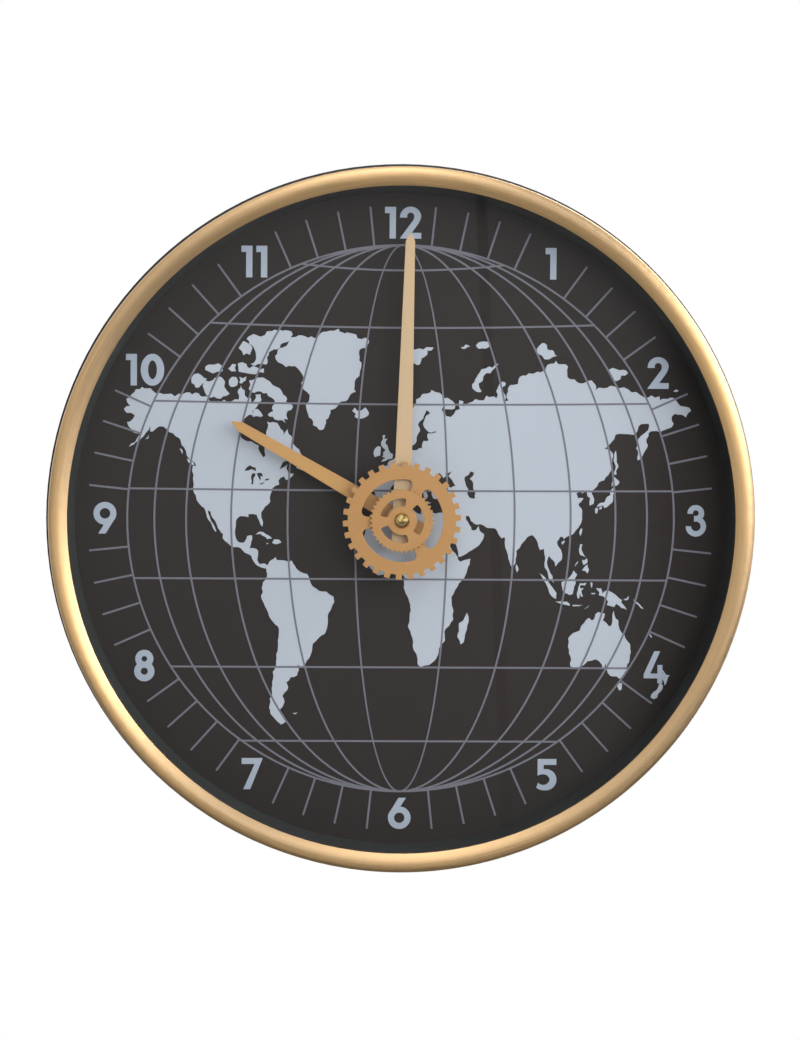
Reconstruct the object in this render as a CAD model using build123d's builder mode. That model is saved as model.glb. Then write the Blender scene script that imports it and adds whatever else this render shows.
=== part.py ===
from build123d import *
import os
from math import acos, cos, degrees, hypot, log, pi, radians, sin, tan

# Quartz wall clock with a world map dial and two ornamental gears over the hands, in millimetres.
# +Z is up, +X is to the right seen from the front, and the dial faces -Y.
# The origin is where the hand axis meets the wall. A height is a distance in front of the wall.

# Case and bezel
case_radius = 175.0
case_wall = 3.0
case_step_height = 30.0
bezel_inset = 1.9
bezel_wall = 1.4
bezel_clearance = 0.1
bezel_bead_rise = 2.72
bezel_bead_depth = 3.0
bezel_crest_inset = 3.6
bezel_edge_slope = 0.6
bezel_lip_edge = 0.8
spigot_wall = 2.0
bezel_face = 9.35
web_thickness = 2.5
disc_clearance = 0.3
rib_count = 12
rib_depth = 5.0
rib_thickness = 1.6
rib_inner_radius = 52.0

# Lens, seal and spacer between dial and lens
lens_thickness = 2.0
seal_thickness = 0.5
seal_width = 4.5
dome_to_lens = 0.6
spacer_wall = 1.6
spacer_taper = 2.1

# Small screws through the side of the bezel
bezel_screw_count = 4
bezel_screw_start = 45.0
bezel_screw_rise = 5.0
bezel_screw_head_radius = 1.8
bezel_screw_head_depth = 0.8
bezel_screw_radius = 0.9
screw_clearance = 0.05

# Keyhole hanger
hanger_inset = 24.0
hanger_width = 44.0
hanger_depth = 22.0
hanger_thickness = 1.2
hanger_corner = 4.0
hanger_rear = 1.4
keyhole_radius = 4.5
keyhole_slot_width = 4.2
keyhole_slot_rise = 8.0
hanger_screw_spacing = 32.0
hanger_screw_radius = 1.4
hanger_screw_length = 10.0
hanger_screw_head_radius = 2.8
hanger_screw_head_depth = 1.1
hanger_post_radius = 4.0

# Dial and its print
dial_thickness = 0.8
dial_hole_radius = 4.3
print_thickness = 0.1
tick_width = 1.0
tick_margin = 6.35
tick_length = 19.125
numeral_height = 15.6
numeral_inset = 8.6
digit_gap = 0.12
line_width = 0.95

# Globe grid and map, as shares of the globe's radius
meridian_half_widths = (0.1688, 0.4156, 0.6212, 0.7856, 0.9013)
parallel_rises = (0.9079, 0.6993, 0.42, 0.1046, -0.2196, -0.5431, -0.815)
parallel_sags = (0.0214, 0.014, 0.0081, 0.0037, 0.0, 0.0, 0.0)
map_degrees_across = 172.9
map_stretch = 1.427
map_zero_across = -0.0413
map_zero_rise = -0.2417
coast_run = 0.018
coast_bay = 0.03
coast_roughness = 0.08
polar_roughness = 0.32
coast_swing = (614.0, 455.0)

# Hands
hour_angle = 299.8
minute_angle = 1.4
hand_thickness = 0.6
hour_hand_inset = 39.1
hour_point_length = 4.8
hour_eye_width = 8.5
hour_tip_width = 4.9
minute_hand_reach = 5.3
minute_point_length = 3.8
minute_eye_width = 9.3
minute_tip_width = 4.6
hand_point_width = 0.8
hand_tail = 12.5
hour_hand_gap = 2.1
hand_spacing = 3.4
collet_radius = 7.6
collet_depth = 1.1

# Ornamental gears on the seconds arbor
gear_thickness = 0.8
minute_hand_to_gear = 2.4
large_gear_teeth = 30
large_gear_tip_radius = 29.1
large_gear_tooth_depth = 2.4
large_gear_tooth_angle = 3.2
large_slot_outer_radius = 20.4
large_slot_width = 5.5
large_slot_span = 100.0
large_slot_corner = 2.4
small_gear_teeth = 40
small_gear_tip_radius = 15.8
small_gear_tooth_depth = 0.9
small_slot_inner_radius = 7.0
small_slot_outer_radius = 11.0
small_slot_span = 89.0
small_slot_corner = 1.0
tooth_tip_share = 0.46
tooth_root_share = 0.54
tooth_round = 0.4
spoke_count = 3
spoke_angle = 63.4
gear_spacer_thickness = 0.6
gear_spacer_radius = 5.0
gear_hub_radius = 2.0
gear_hub_drop = 0.4
dome_radius = 4.0
dome_rise = 2.3

# Quartz movement
movement_corner = 3.0
movement_shell = 1.2
movement_fit = 0.3
movement_rib = 1.5
movement_rib_depth = 6.0
rubber_washer_thickness = 0.5
rubber_washer_radius = 14.0
bush_radius = 4.0
bush_length = 9.0
bush_clearance = 0.05
brass_washer_thickness = 0.5
brass_washer_radius = 7.0
nut_across_flats = 12.0
nut_thickness = 2.5

# Coaxial shafts through the bush
running_clearance = 0.05
seconds_arbor_radius = 0.6
minute_pipe_radius = 1.5
hour_pipe_radius = 2.4
hour_pipe_rise = 2.2
minute_pipe_rise = 1.4
arbor_radius = 0.5
pivot_radius = 0.35
pivot_depth = 0.7
pivot_shake = 0.1

# Wheel train: teeth, modules and heights of the toothed layers
pressure_angle = radians(20)
addendum_share = 0.8
dedendum_share = 1.2
tooth_backlash = 0.25
seconds_wheel_teeth = 60
seconds_pinion_teeth = 8
intermediate_wheel_teeth = 50
intermediate_pinion_teeth = 10
rotor_pinion_teeth = 10
third_wheel_teeth = 64
third_pinion_teeth = 8
centre_wheel_teeth = 60
cannon_pinion_teeth = 12
motion_wheel_teeth = 36
motion_pinion_teeth = 10
hour_wheel_teeth = 40
setting_pinion_teeth = 18
rotor_module = 0.20
seconds_module = 0.28
third_module = 0.27
cannon_module = 0.42
wheel_thickness = 0.8
rotor_pinion_low = 4.2
rotor_pinion_high = 5.8
intermediate_wheel_low = 4.6
intermediate_pinion_low = 5.8
intermediate_pinion_high = 7.8
seconds_wheel_low = 6.4
seconds_pinion_high = 9.4
third_wheel_low = 8.0
third_pinion_low = 9.8
third_pinion_high = 11.8
centre_wheel_low = 10.5
cannon_pinion_low = 12.2
cannon_pinion_high = 14.2
motion_wheel_low = 12.6
motion_pinion_high = 16.0
hour_wheel_low = 14.7
setting_pinion_low = 12.2
setting_pinion_high = 13.8
cover_gap = 1.0
plate_gap = 0.3
train_room = 0.3
collar_radius = 2.2
collar_low = 9.7
clutch_radius = 3.6
clutch_thickness = 0.3
third_direction = 150.0
intermediate_direction = 60.0
rotor_direction = 40.0
motion_direction = 0.0

# Stepping motor
magnet_radius = 2.6
magnet_low = 7.8
magnet_high = 11.2
stator_low = 9.0
stator_thickness = 1.2
stator_bore_radius = 3.0
stator_ring_radius = 4.8
stator_leg_width = 3.6
core_width = 2.4
core_thickness = 1.4
core_drop = 4.8
core_inset = 2.3
core_to_board = 2.5
bobbin_inset_left = 4.5
bobbin_inset_right = 5.0
bobbin_flange = 0.8
bobbin_radius = 3.7
bobbin_tube_radius = 1.9
winding_radius = 3.4
stator_post_radius = 1.5

# Circuit board
board_gap = 0.6
board_width = 19.2
board_height = 11.2
board_rear = 5.6
board_thickness = 1.0
board_post_radius = 1.4
board_post_inset = 2.2
crystal_radius = 1.0
crystal_length = 6.0
chip_radius = 2.6
chip_rise = 0.9

# Battery and contacts
battery_radius = 7.1
battery_length = 49.4
battery_nub_radius = 2.7
battery_nub_length = 1.1
battery_clearance = 0.1
partition_wall = 1.2
contact_bend = 2.0
contact_thickness = 0.4
contact_width = 9.0
contact_depth = 9.0

# Setting knob
setting_arbor_radius = 1.4
knob_radius = 6.0
knob_notch_count = 24
knob_notch_radius = 0.5
knob_rear = 0.6
knob_gap = 0.15

# Sizes of the case, dial print and hands that follow
bezel_radius = case_radius - bezel_inset
spigot_radius = bezel_radius - bezel_wall - bezel_clearance
case_inner_radius = spigot_radius - spigot_wall
recess_radius = case_radius - case_wall
disc_radius = case_inner_radius - disc_clearance
sight_radius = bezel_radius - bezel_face
bezel_screw_height = case_step_height + bezel_screw_rise
hanger_rise = recess_radius - hanger_inset
hanger_front = hanger_rear + hanger_thickness
tick_outer_radius = sight_radius - spacer_taper - tick_margin
numeral_ring_radius = tick_outer_radius - numeral_inset
globe_radius = tick_outer_radius - tick_length - line_width / 2
hour_length = globe_radius - hour_hand_inset
minute_length = globe_radius + minute_hand_reach
large_gear_root_radius = large_gear_tip_radius - large_gear_tooth_depth
large_slot_inner_radius = large_slot_outer_radius - large_slot_width
small_gear_root_radius = small_gear_tip_radius - small_gear_tooth_depth

# Heights that follow, from the movement forward to the lens
cover_inner = rotor_pinion_low - cover_gap
movement_rear = cover_inner - movement_shell
plate_inner = motion_pinion_high + plate_gap
movement_front = plate_inner + movement_shell
web_rear = movement_front + rubber_washer_thickness
dial_rear = web_rear + web_thickness
dial_front = dial_rear + dial_thickness
layer_two = dial_front + print_thickness
bush_top = movement_front + bush_length
hour_hand_height = bush_top + hour_hand_gap
hour_pipe_top = hour_hand_height + hour_pipe_rise
minute_hand_height = hour_hand_height + hand_spacing
minute_pipe_top = minute_hand_height + minute_pipe_rise
large_gear_height = minute_hand_height + minute_hand_to_gear
small_gear_height = large_gear_height + gear_thickness + gear_spacer_thickness
dome_low = small_gear_height + gear_thickness
lens_rear = dome_low + dome_rise + dome_to_lens
lens_front = lens_rear + lens_thickness
lip_height = lens_front + seal_thickness
spigot_top = lip_height - bezel_clearance

# The housing is wide enough for the battery with its contacts and for the motion work beside it
battery_end = battery_length / 2
battery_need = battery_end + battery_clearance + contact_bend
motion_half_teeth = cannon_pinion_teeth / 2 + motion_wheel_teeth + setting_pinion_teeth
train_need = cannon_module * (motion_half_teeth + addendum_share) + train_room
cavity_half = max(battery_need, train_need)
movement_width = 2 * (cavity_half + movement_shell)
battery_height = plate_inner - battery_clearance - battery_radius
battery_rise = battery_clearance + battery_radius - cavity_half
partition_low = battery_rise + battery_radius + battery_clearance
partition_high = partition_low + partition_wall
board_left = board_gap - cavity_half
board_right = board_left + board_width
board_high = cavity_half - board_gap
board_low = board_high - board_height
core_rise = cavity_half - core_drop
core_left = board_right + core_to_board
core_right = cavity_half - core_inset
bobbin_left = core_left + bobbin_inset_left
bobbin_right = core_right - bobbin_inset_right

# The section plane has radius across and height up. Turned pieces spin about the hand axis.
SECTION = Plane(origin=(0, 0, 0), x_dir=(1, 0, 0), z_dir=(0, 0, -1))


def front(height):
    """Plane parallel to the wall, seen from the front, at a height."""
    return Plane.XZ.offset(height)


def radial_plane(angle, radius, height):
    """Plane whose normal points away from the hand axis at an angle."""
    outward = (cos(radians(angle)), 0, sin(radians(angle)))
    place = (radius * outward[0], -height, radius * outward[2])
    return Plane(origin=place, x_dir=(0, 1, 0), z_dir=outward)


def polar(radius, angle, centre=(0, 0)):
    """Point at a radius and an angle in degrees, anticlockwise from 3 o'clock."""
    return (centre[0] + radius * cos(radians(angle)), centre[1] + radius * sin(radians(angle)))


def save(piece, name):
    """Labels a finished piece and writes it."""
    piece.part.label = name
    export_step(piece.part, f"parts/{name}.step")


def turned(corners):
    """Solid of revolution about the hand axis from (radius, height) corners."""
    with BuildPart() as piece:
        with BuildSketch(SECTION):
            Polygon(*corners, align=None)
        revolve(axis=Axis.Y)
    return piece


def ring(inner, outer, low, high):
    """Flat ring about the hand axis, or a disc where the inner radius is zero."""
    return turned([(inner, low), (outer, low), (outer, high), (inner, high)])


def pitch_radius(teeth, module):
    """Pitch radius of a toothed wheel."""
    return teeth * module / 2


def wheel_outline(teeth, module, tooth_angle, centre):
    """Corners of an involute wheel with one tooth centred on tooth_angle, in degrees."""
    pitch = pitch_radius(teeth, module)
    base = pitch * cos(pressure_angle)

    def half_tooth(radius):
        roll = acos(min(1.0, base / radius))
        flank = tan(pressure_angle) - pressure_angle - tan(roll) + roll
        return degrees((pi / 2 - tooth_backlash) / teeth + flank)

    levels = (
        pitch - dedendum_share * module,
        pitch - addendum_share * module / 2,
        pitch + addendum_share * module / 3,
        pitch + addendum_share * module,
    )
    corners = []
    for tooth in range(teeth):
        middle = tooth_angle + 360 * tooth / teeth
        corners += [polar(r, middle - half_tooth(r), centre) for r in levels]
        corners += [polar(r, middle + half_tooth(r), centre) for r in reversed(levels)]
    return corners


def gap_angle(teeth, direction):
    """Tooth angle that puts a gap, not a tooth, in a direction."""
    return direction + 180 / teeth


def train_arbor(centre, layers):
    """Arbor with pivots in both movement plates, and toothed layers (teeth, module, angle, low, high)."""
    shoulders = (cover_inner + pivot_shake, plate_inner - pivot_shake)
    with BuildPart() as piece:
        with BuildSketch(front(shoulders[0] - pivot_depth)):
            with Locations(centre):
                Circle(pivot_radius)
        extrude(amount=shoulders[1] - shoulders[0] + 2 * pivot_depth)
        with BuildSketch(front(shoulders[0])):
            with Locations(centre):
                Circle(arbor_radius)
        extrude(amount=shoulders[1] - shoulders[0])
        for teeth, module, angle, low, high in layers:
            with BuildSketch(front(low)):
                Polygon(*wheel_outline(teeth, module, angle, centre), align=None)
            extrude(amount=high - low)
    return piece


os.makedirs("parts", exist_ok=True)

# Rear case: skirt with a step for the bezel, a web that carries the dial, ribs and posts behind it
with BuildPart() as rear_case:
    with BuildSketch(SECTION):
        Polygon(
            (case_radius, 0),
            (case_radius, case_step_height),
            (spigot_radius, case_step_height),
            (spigot_radius, spigot_top),
            (case_inner_radius, spigot_top),
            (case_inner_radius, dial_rear),
            (dial_hole_radius, dial_rear),
            (dial_hole_radius, web_rear),
            (recess_radius, web_rear),
            (recess_radius, 0),
            align=None,
        )
    revolve(axis=Axis.Y)
    with BuildSketch(front(web_rear - rib_depth)):
        rib_length = recess_radius - rib_inner_radius
        with PolarLocations(rib_inner_radius + rib_length / 2, rib_count, start_angle=180 / rib_count):
            Rectangle(rib_length + case_wall, rib_thickness)
    extrude(amount=rib_depth)
    with BuildSketch(front(web_rear - movement_rib_depth)):
        pocket = movement_width + 2 * movement_fit
        RectangleRounded(pocket + 2 * movement_rib, pocket + 2 * movement_rib, movement_corner + movement_rib)
        RectangleRounded(pocket, pocket, movement_corner, mode=Mode.SUBTRACT)
    extrude(amount=movement_rib_depth)
    with BuildSketch(front(hanger_front)):
        with Locations((0, hanger_rise)):
            with GridLocations(hanger_screw_spacing, 0, 2, 1):
                Circle(hanger_post_radius)
    extrude(amount=web_rear - hanger_front)
    with BuildSketch(front(hanger_front)):
        with Locations((0, hanger_rise)):
            with GridLocations(hanger_screw_spacing, 0, 2, 1):
                Circle(hanger_screw_radius + screw_clearance)
    extrude(amount=hanger_screw_length, mode=Mode.SUBTRACT)
    for turn in range(bezel_screw_count):
        angle = bezel_screw_start + 360 * turn / bezel_screw_count
        with BuildSketch(radial_plane(angle, case_inner_radius - spigot_wall, bezel_screw_height)):
            Circle(bezel_screw_radius + screw_clearance)
        extrude(amount=3 * spigot_wall, mode=Mode.SUBTRACT)
save(rear_case, "rear_case")

# Bezel: a round bead over the lens edge and a skirt around the case spigot
with BuildPart() as bezel_ring:
    with BuildSketch(SECTION):
        with BuildLine():
            bead_top = lip_height + bezel_bead_rise
            shoulder = (bezel_radius, bead_top - bezel_bead_depth)
            crest = (bezel_radius - bezel_crest_inset, bead_top)
            edge = (sight_radius, lip_height + bezel_lip_edge)
            Spline(shoulder, crest, edge, tangents=[(0, 1), (-1, -bezel_edge_slope)])
            Polyline(
                edge,
                (sight_radius, lip_height),
                (bezel_radius - bezel_wall, lip_height),
                (bezel_radius - bezel_wall, case_step_height),
                (bezel_radius, case_step_height),
                shoulder,
            )
        make_face()
    revolve(axis=Axis.Y)
    for turn in range(bezel_screw_count):
        angle = bezel_screw_start + 360 * turn / bezel_screw_count
        with BuildSketch(radial_plane(angle, bezel_radius - 2 * bezel_wall, bezel_screw_height)):
            Circle(bezel_screw_radius + screw_clearance)
        extrude(amount=3 * bezel_wall, mode=Mode.SUBTRACT)
        with BuildSketch(radial_plane(angle, bezel_radius - bezel_screw_head_depth, bezel_screw_height)):
            Circle(bezel_screw_head_radius + screw_clearance)
        extrude(amount=2 * bezel_wall, mode=Mode.SUBTRACT)
save(bezel_ring, "bezel_ring")

# Screws that hold the bezel on the spigot, with their heads sunk in the bezel's side
with BuildPart() as bezel_screws:
    for turn in range(bezel_screw_count):
        angle = bezel_screw_start + 360 * turn / bezel_screw_count
        with BuildSketch(radial_plane(angle, bezel_radius - bezel_screw_head_depth, bezel_screw_height)):
            Circle(bezel_screw_head_radius)
        extrude(amount=bezel_screw_head_depth - bezel_clearance)
        with BuildSketch(radial_plane(angle, case_inner_radius, bezel_screw_height)):
            Circle(bezel_screw_radius)
        extrude(amount=bezel_radius - bezel_screw_head_depth - case_inner_radius)
save(bezel_screws, "bezel_screws")

# Lens, its seal under the bezel lip, and the tapered spacer that stands on the dial
save(ring(0, disc_radius, lens_rear, lens_front), "lens_glass")
save(ring(disc_radius - seal_width, disc_radius, lens_front, lip_height), "lens_seal")
spacer_ring = turned(
    [
        (sight_radius - spacer_taper, dial_front),
        (sight_radius - spacer_taper + spacer_wall, dial_front),
        (sight_radius + spacer_wall, lens_rear - spacer_wall),
        (disc_radius, lens_rear - spacer_wall),
        (disc_radius, lens_rear),
        (sight_radius, lens_rear),
    ]
)
save(spacer_ring, "spacer_ring")

# Hanger plate with a keyhole, and its two screws
with BuildPart() as hanger_plate:
    with BuildSketch(front(hanger_rear)):
        with Locations((0, hanger_rise)):
            RectangleRounded(hanger_width, hanger_depth, hanger_corner)
            Circle(keyhole_radius, mode=Mode.SUBTRACT)
            with GridLocations(hanger_screw_spacing, 0, 2, 1):
                Circle(hanger_screw_radius + screw_clearance, mode=Mode.SUBTRACT)
        with Locations((0, hanger_rise + keyhole_slot_rise / 2)):
            SlotCenterToCenter(keyhole_slot_rise, keyhole_slot_width, rotation=90, mode=Mode.SUBTRACT)
    extrude(amount=hanger_thickness)
save(hanger_plate, "hanger_plate")

with BuildPart() as hanger_screws:
    with BuildSketch(front(hanger_rear - hanger_screw_head_depth)):
        with Locations((0, hanger_rise)):
            with GridLocations(hanger_screw_spacing, 0, 2, 1):
                Circle(hanger_screw_head_radius)
    extrude(amount=hanger_screw_head_depth)
    with BuildSketch(front(hanger_rear)):
        with Locations((0, hanger_rise)):
            with GridLocations(hanger_screw_spacing, 0, 2, 1):
                Circle(hanger_screw_radius)
    extrude(amount=hanger_screw_length)
save(hanger_screws, "hanger_screws")

# Dial plate
save(ring(dial_hole_radius, disc_radius, dial_rear, dial_front), "dial_plate")

# Coastlines in degrees east and north, going round each piece of land
LAND = {
    "north america": (
        (-168, 65.6), (-164, 66.5), (-166.5, 68.3), (-163, 69.5), (-156.6, 71.3), (-150, 70.4),
        (-141, 69.6), (-136, 69), (-133.5, 69.7), (-129, 70), (-125, 69.5), (-121, 69.8),
        (-115, 68.9), (-114.5, 68), (-109, 67.9), (-105, 68.2), (-101, 67.8), (-98, 68.4),
        (-95.8, 68.3), (-96, 70.8), (-94.5, 71.9), (-92, 70.6), (-92, 69.4), (-90, 68.6),
        (-88, 68.8), (-87.5, 67.3), (-85.8, 68.2), (-85.3, 69.6), (-82, 69.7), (-81.3, 68.2),
        (-84.5, 66.4), (-87, 65.3), (-87, 64.2), (-91, 63.7), (-93.5, 62), (-94.8, 60), (-94.7, 58.8),
        (-92.5, 57), (-88, 56.5), (-83, 55.2), (-82.2, 53), (-80, 51.3), (-78.8, 52), (-79.3, 54.6),
        (-76.8, 56.5), (-78.5, 58.8), (-77.5, 60.5), (-78, 62.4), (-74, 62.3), (-70, 61), (-67.5, 58.3),
        (-64.8, 60.3), (-62, 57.5), (-60, 55), (-56, 52.5), (-59, 50.3), (-66, 50.2), (-70, 47.2),
        (-65, 49.2), (-64.5, 46.3), (-61, 45.8), (-65.8, 43.5), (-67, 44.8), (-70.5, 43.3), (-70, 41.8),
        (-74, 40.6), (-75.5, 38), (-76, 36.9), (-75.6, 35.3), (-79, 33.3), (-81.3, 31), (-80.1, 27),
        (-80.6, 25.2), (-81.8, 26.2), (-82.8, 28), (-84, 30), (-86.5, 30.4), (-89.5, 30.2),
        (-89.3, 29.1), (-91.5, 29.4), (-94.5, 29.5), (-97.3, 27.5), (-97.7, 24), (-97.3, 20.5),
        (-95.5, 18.6), (-92, 18.5), (-90.6, 20), (-90.2, 21.2), (-87, 21.5), (-87.6, 18.5), (-88.5, 16),
        (-84.5, 15.8), (-83.2, 15), (-83.7, 11), (-82, 9), (-79.5, 9.5), (-77, 8.6), (-78, 7.2),
        (-80.3, 7.4), (-83, 8.2), (-85.7, 10), (-87.5, 12.8), (-91.5, 14), (-94.5, 16.2), (-98.5, 16.4),
        (-102, 18), (-105.6, 20.3), (-105.3, 22), (-109, 25.5), (-112, 28.8), (-113.2, 31.2),
        (-114.8, 31.8), (-114, 29.5), (-111.3, 26), (-109.6, 23.2), (-110.2, 23), (-112.2, 25.5),
        (-114.5, 27.8), (-115.8, 30), (-117.2, 32.6), (-120.6, 34.5), (-122.5, 37.5), (-124.3, 40.4),
        (-124, 45), (-124.6, 48.3), (-122.5, 48.3), (-124.5, 50), (-127.7, 51.3), (-130.3, 54.6),
        (-133.5, 57.5), (-137, 58.8), (-141, 60), (-146, 60.8), (-151.5, 59.3), (-151.5, 61), (-154, 59),
        (-158, 56.8), (-162, 55.2), (-164.8, 54.6), (-161, 56), (-157.7, 58.6), (-162, 59), (-165, 60.8),
        (-166, 62), (-161.2, 64), (-166.3, 64.6),
    ),
    "greenland": (
        (-73, 78.3), (-68, 80), (-60, 82), (-45, 82.5), (-33, 83.5), (-22, 82.5), (-14, 81.5), (-18, 80),
        (-20, 77.5), (-19.5, 75.2), (-22, 73.5), (-22, 70.4), (-27, 68.5), (-33, 67), (-38, 65.7),
        (-41, 63), (-43, 60.1), (-45, 60.1), (-49, 61.5), (-52, 64.5), (-53.5, 67), (-51, 69.5),
        (-54.5, 70.8), (-55.5, 73), (-59, 75.8), (-66, 76), (-71, 77),
    ),
    "baffin island": (
        (-89.5, 71), (-89.3, 73), (-85, 73.7), (-80.5, 73.7), (-76, 72.7), (-68.5, 70.3), (-66, 67.8),
        (-61.5, 66.5), (-65, 65.4), (-64.8, 63), (-67.5, 63.2), (-66, 62), (-71.5, 62.8), (-77.5, 64.3),
        (-74, 65.3), (-73, 68), (-78, 70), (-86, 70),
    ),
    "victoria island": (
        (-117, 70), (-118.5, 71.6), (-117.5, 73), (-112, 73), (-106, 73.5), (-105, 71.5), (-101.5, 69.8),
        (-105.5, 69.1), (-113.5, 68.7), (-116, 69.3),
    ),
    "banks island": ((-123, 71.2), (-125.5, 72.3), (-124, 74.3), (-119, 74), (-115.8, 73.3), (-119.5, 71.8)),
    "melville island": ((-117, 75.3), (-115, 76.4), (-108.5, 76.7), (-106, 75), (-112, 74.5)),
    "bathurst island": ((-102.5, 75.6), (-100, 76.6), (-97.5, 76.5), (-97.5, 75), (-100.5, 75)),
    "prince of wales island": ((-102, 72), (-100, 73.8), (-97.3, 73.7), (-96.8, 71.8), (-99, 71.4)),
    "somerset island": ((-95.5, 73.8), (-91, 73.9), (-91.5, 72.9), (-94, 72.2), (-95.5, 72.4)),
    "devon island": (
        (-96.5, 76.7), (-96, 75), (-92, 74.7), (-80, 74.7), (-80, 75.7), (-89, 75.7), (-91, 76.6),
    ),
    "ellesmere island": (
        (-91, 81.5), (-85, 82.3), (-75, 83), (-62, 82.4), (-66, 81), (-72, 79.6), (-77, 78.5),
        (-78.5, 76.5), (-88.5, 76.6), (-85, 78.2), (-86.5, 80),
    ),
    "axel heiberg island": ((-96, 79.8), (-93, 81.2), (-88.5, 80.4), (-88.8, 78.5), (-93, 78.4)),
    "southampton island": ((-87, 63.7), (-82, 63.7), (-80.5, 64), (-84, 65.9), (-86, 65.7)),
    "newfoundland": (
        (-59.3, 47.7), (-57.5, 50.7), (-55.7, 51.6), (-55.8, 49.9), (-53, 48.5), (-53.3, 46.7), (-55.8, 47),
    ),
    "vancouver island": ((-128.3, 50.8), (-125.6, 50.2), (-123.6, 48.5), (-125.5, 48.8)),
    "haida gwaii": ((-133, 54), (-131.7, 54), (-131.2, 52.2)),
    "kodiak island": ((-154.6, 57), (-152.4, 58.4), (-152.5, 57.2)),
    "cuba": (
        (-84.8, 21.9), (-82.5, 23.1), (-80, 23), (-77, 21.7), (-74.3, 20.2), (-77.6, 19.9),
        (-78.2, 20.8), (-81.8, 22.2),
    ),
    "hispaniola": ((-74.4, 18.4), (-73, 19.9), (-70, 19.8), (-68.4, 18.6), (-71.2, 17.8)),
    "jamaica": ((-78.3, 18.4), (-76.3, 18.1), (-77.5, 17.8)),
    "south america": (
        (-78, 7.2), (-77, 8.6), (-75.5, 10.6), (-72, 12.2), (-71.5, 11), (-68.3, 10.8), (-64, 10.2),
        (-61.8, 10.7), (-60, 8.5), (-57, 6), (-52, 4.8), (-50, 1), (-48.5, -0.8), (-44.5, -2.7), (-40, -2.9),
        (-35.3, -5.2), (-34.8, -7.5), (-37, -11), (-39, -13.5), (-39, -17.5), (-40.8, -21.5), (-44.5, -23),
        (-48.3, -25.6), (-48.7, -28.3), (-52, -32.5), (-54.9, -34.9), (-58, -34.2), (-57, -36.2),
        (-58, -38.2), (-62.2, -39), (-65, -41), (-63.7, -42.6), (-67.4, -46), (-66, -48), (-69, -50.8),
        (-68.4, -52.4), (-65.2, -54.7), (-68, -55.6), (-72, -53.8), (-75, -51), (-75.5, -47), (-73.8, -42),
        (-73.6, -37), (-71.5, -33), (-71.4, -30), (-70.3, -18.4), (-76, -14), (-79.5, -8), (-81.2, -5),
        (-80, -3.2), (-80.8, -1.5), (-80, 1), (-78, 2.5), (-77.3, 4.5),
    ),
    "falkland islands": ((-61.2, -51.8), (-57.9, -51.5), (-59.2, -52.3)),
    "africa": (
        (-6, 35.8), (-2, 35.1), (3, 36.8), (10, 37.3), (11, 35.5), (10.2, 34.2), (15, 32.3), (19.8, 30.5),
        (20.2, 32.6), (23, 32.7), (25, 31.6), (29, 30.9), (32.5, 31.4), (32.8, 30), (34, 27.5), (35.5, 24),
        (37.2, 21), (37.4, 18.8), (39.5, 15.5), (43.2, 12.4), (43.3, 11.5), (45, 10.5), (51.2, 11.9),
        (50.8, 9.5), (48, 4.5), (44, 1), (41.5, -2), (39.3, -5), (39.5, -7.5), (40.5, -10.5), (40.6, -15),
        (35, -20), (35.4, -24), (32.8, -26), (31.5, -29), (28, -32.8), (25.6, -34), (20, -34.8),
        (18.4, -34), (18.2, -32), (15.2, -27), (14.5, -22.5), (11.8, -18), (13.7, -11), (12.2, -6),
        (9, -1), (9.6, 3.5), (8.5, 4.6), (6, 4.3), (4, 6.4), (-2, 4.8), (-7.5, 4.4), (-11, 6.8), (-13.3, 9),
        (-16.7, 12.3), (-17.4, 14.7), (-16.3, 19), (-17, 21), (-14.5, 26), (-11, 28.8), (-9.7, 31),
        (-6.8, 34),
    ),
    "madagascar": (
        (49.3, -12), (50.4, -15.8), (49.5, -17.5), (47.2, -24.8), (45.2, -25.6), (43.3, -22.5),
        (44.3, -20), (44.2, -16.5), (47, -15.3),
    ),
    "eurasia": (
        (-5.6, 36), (-8.9, 37), (-9.4, 38.8), (-8.8, 43.2), (-1.8, 43.4), (-1.2, 46), (-4.6, 48.4),
        (-1.5, 48.7), (-1.6, 49.6), (1.6, 50.8), (4, 51.8), (5, 53.2), (8.5, 53.7), (8.2, 56.8),
        (10.5, 57.6), (10.8, 56.4), (10, 54.8), (11, 54.2), (14, 54), (18.5, 54.7), (20, 54.6), (21, 57),
        (24.2, 57.2), (23.5, 59.2), (29.5, 59.7), (23, 60.1), (21.3, 61), (21.3, 63), (25, 65), (22.5, 65.8),
        (21, 64.3), (17.3, 61.7), (18.8, 60), (16.5, 58), (16, 56.2), (14.2, 55.5), (12.8, 55.5),
        (11.2, 58.8), (10.5, 59.3), (8, 58), (5.6, 58.8), (5, 61.5), (9, 63.7), (13, 66), (16, 68.6),
        (20, 70), (25.8, 71), (31, 70.3), (36, 69.1), (41, 67.3), (40.5, 66.3), (33, 66.7), (35, 64.3),
        (38, 64), (40, 64.8), (43.8, 66.2), (43.5, 68.5), (46, 68.2), (46, 66.8), (53.5, 68.8),
        (59, 68.5), (60.5, 69.7),
        (66.8, 69), (66.7, 70.8), (69, 72.8), (72.7, 72.8), (72.2, 68.3), (74.5, 68.5), (74, 71.5),
        (75.5, 72.3), (80.5, 72.6), (80.7, 73.6), (87, 75), (98, 76.3), (104.3, 77.7), (112, 76.5),
        (113.5, 73.7), (118, 73), (123, 73), (127, 73.5), (129.5, 71.2), (139, 72.3), (150, 71.5),
        (160, 69.6), (170, 69.8), (170.5, 68.8), (177, 69.5), (190.2, 66.1), (187, 64.3), (180, 65.3),
        (178, 64.5), (179.3, 62.5), (170.3, 60), (163.5, 59.8), (162, 57.8), (163, 56), (160, 53),
        (156.7, 51), (155.6, 55), (156.8, 57.8), (163.8, 61.8), (163.3, 62.5), (157, 61.7), (155, 59.3),
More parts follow.
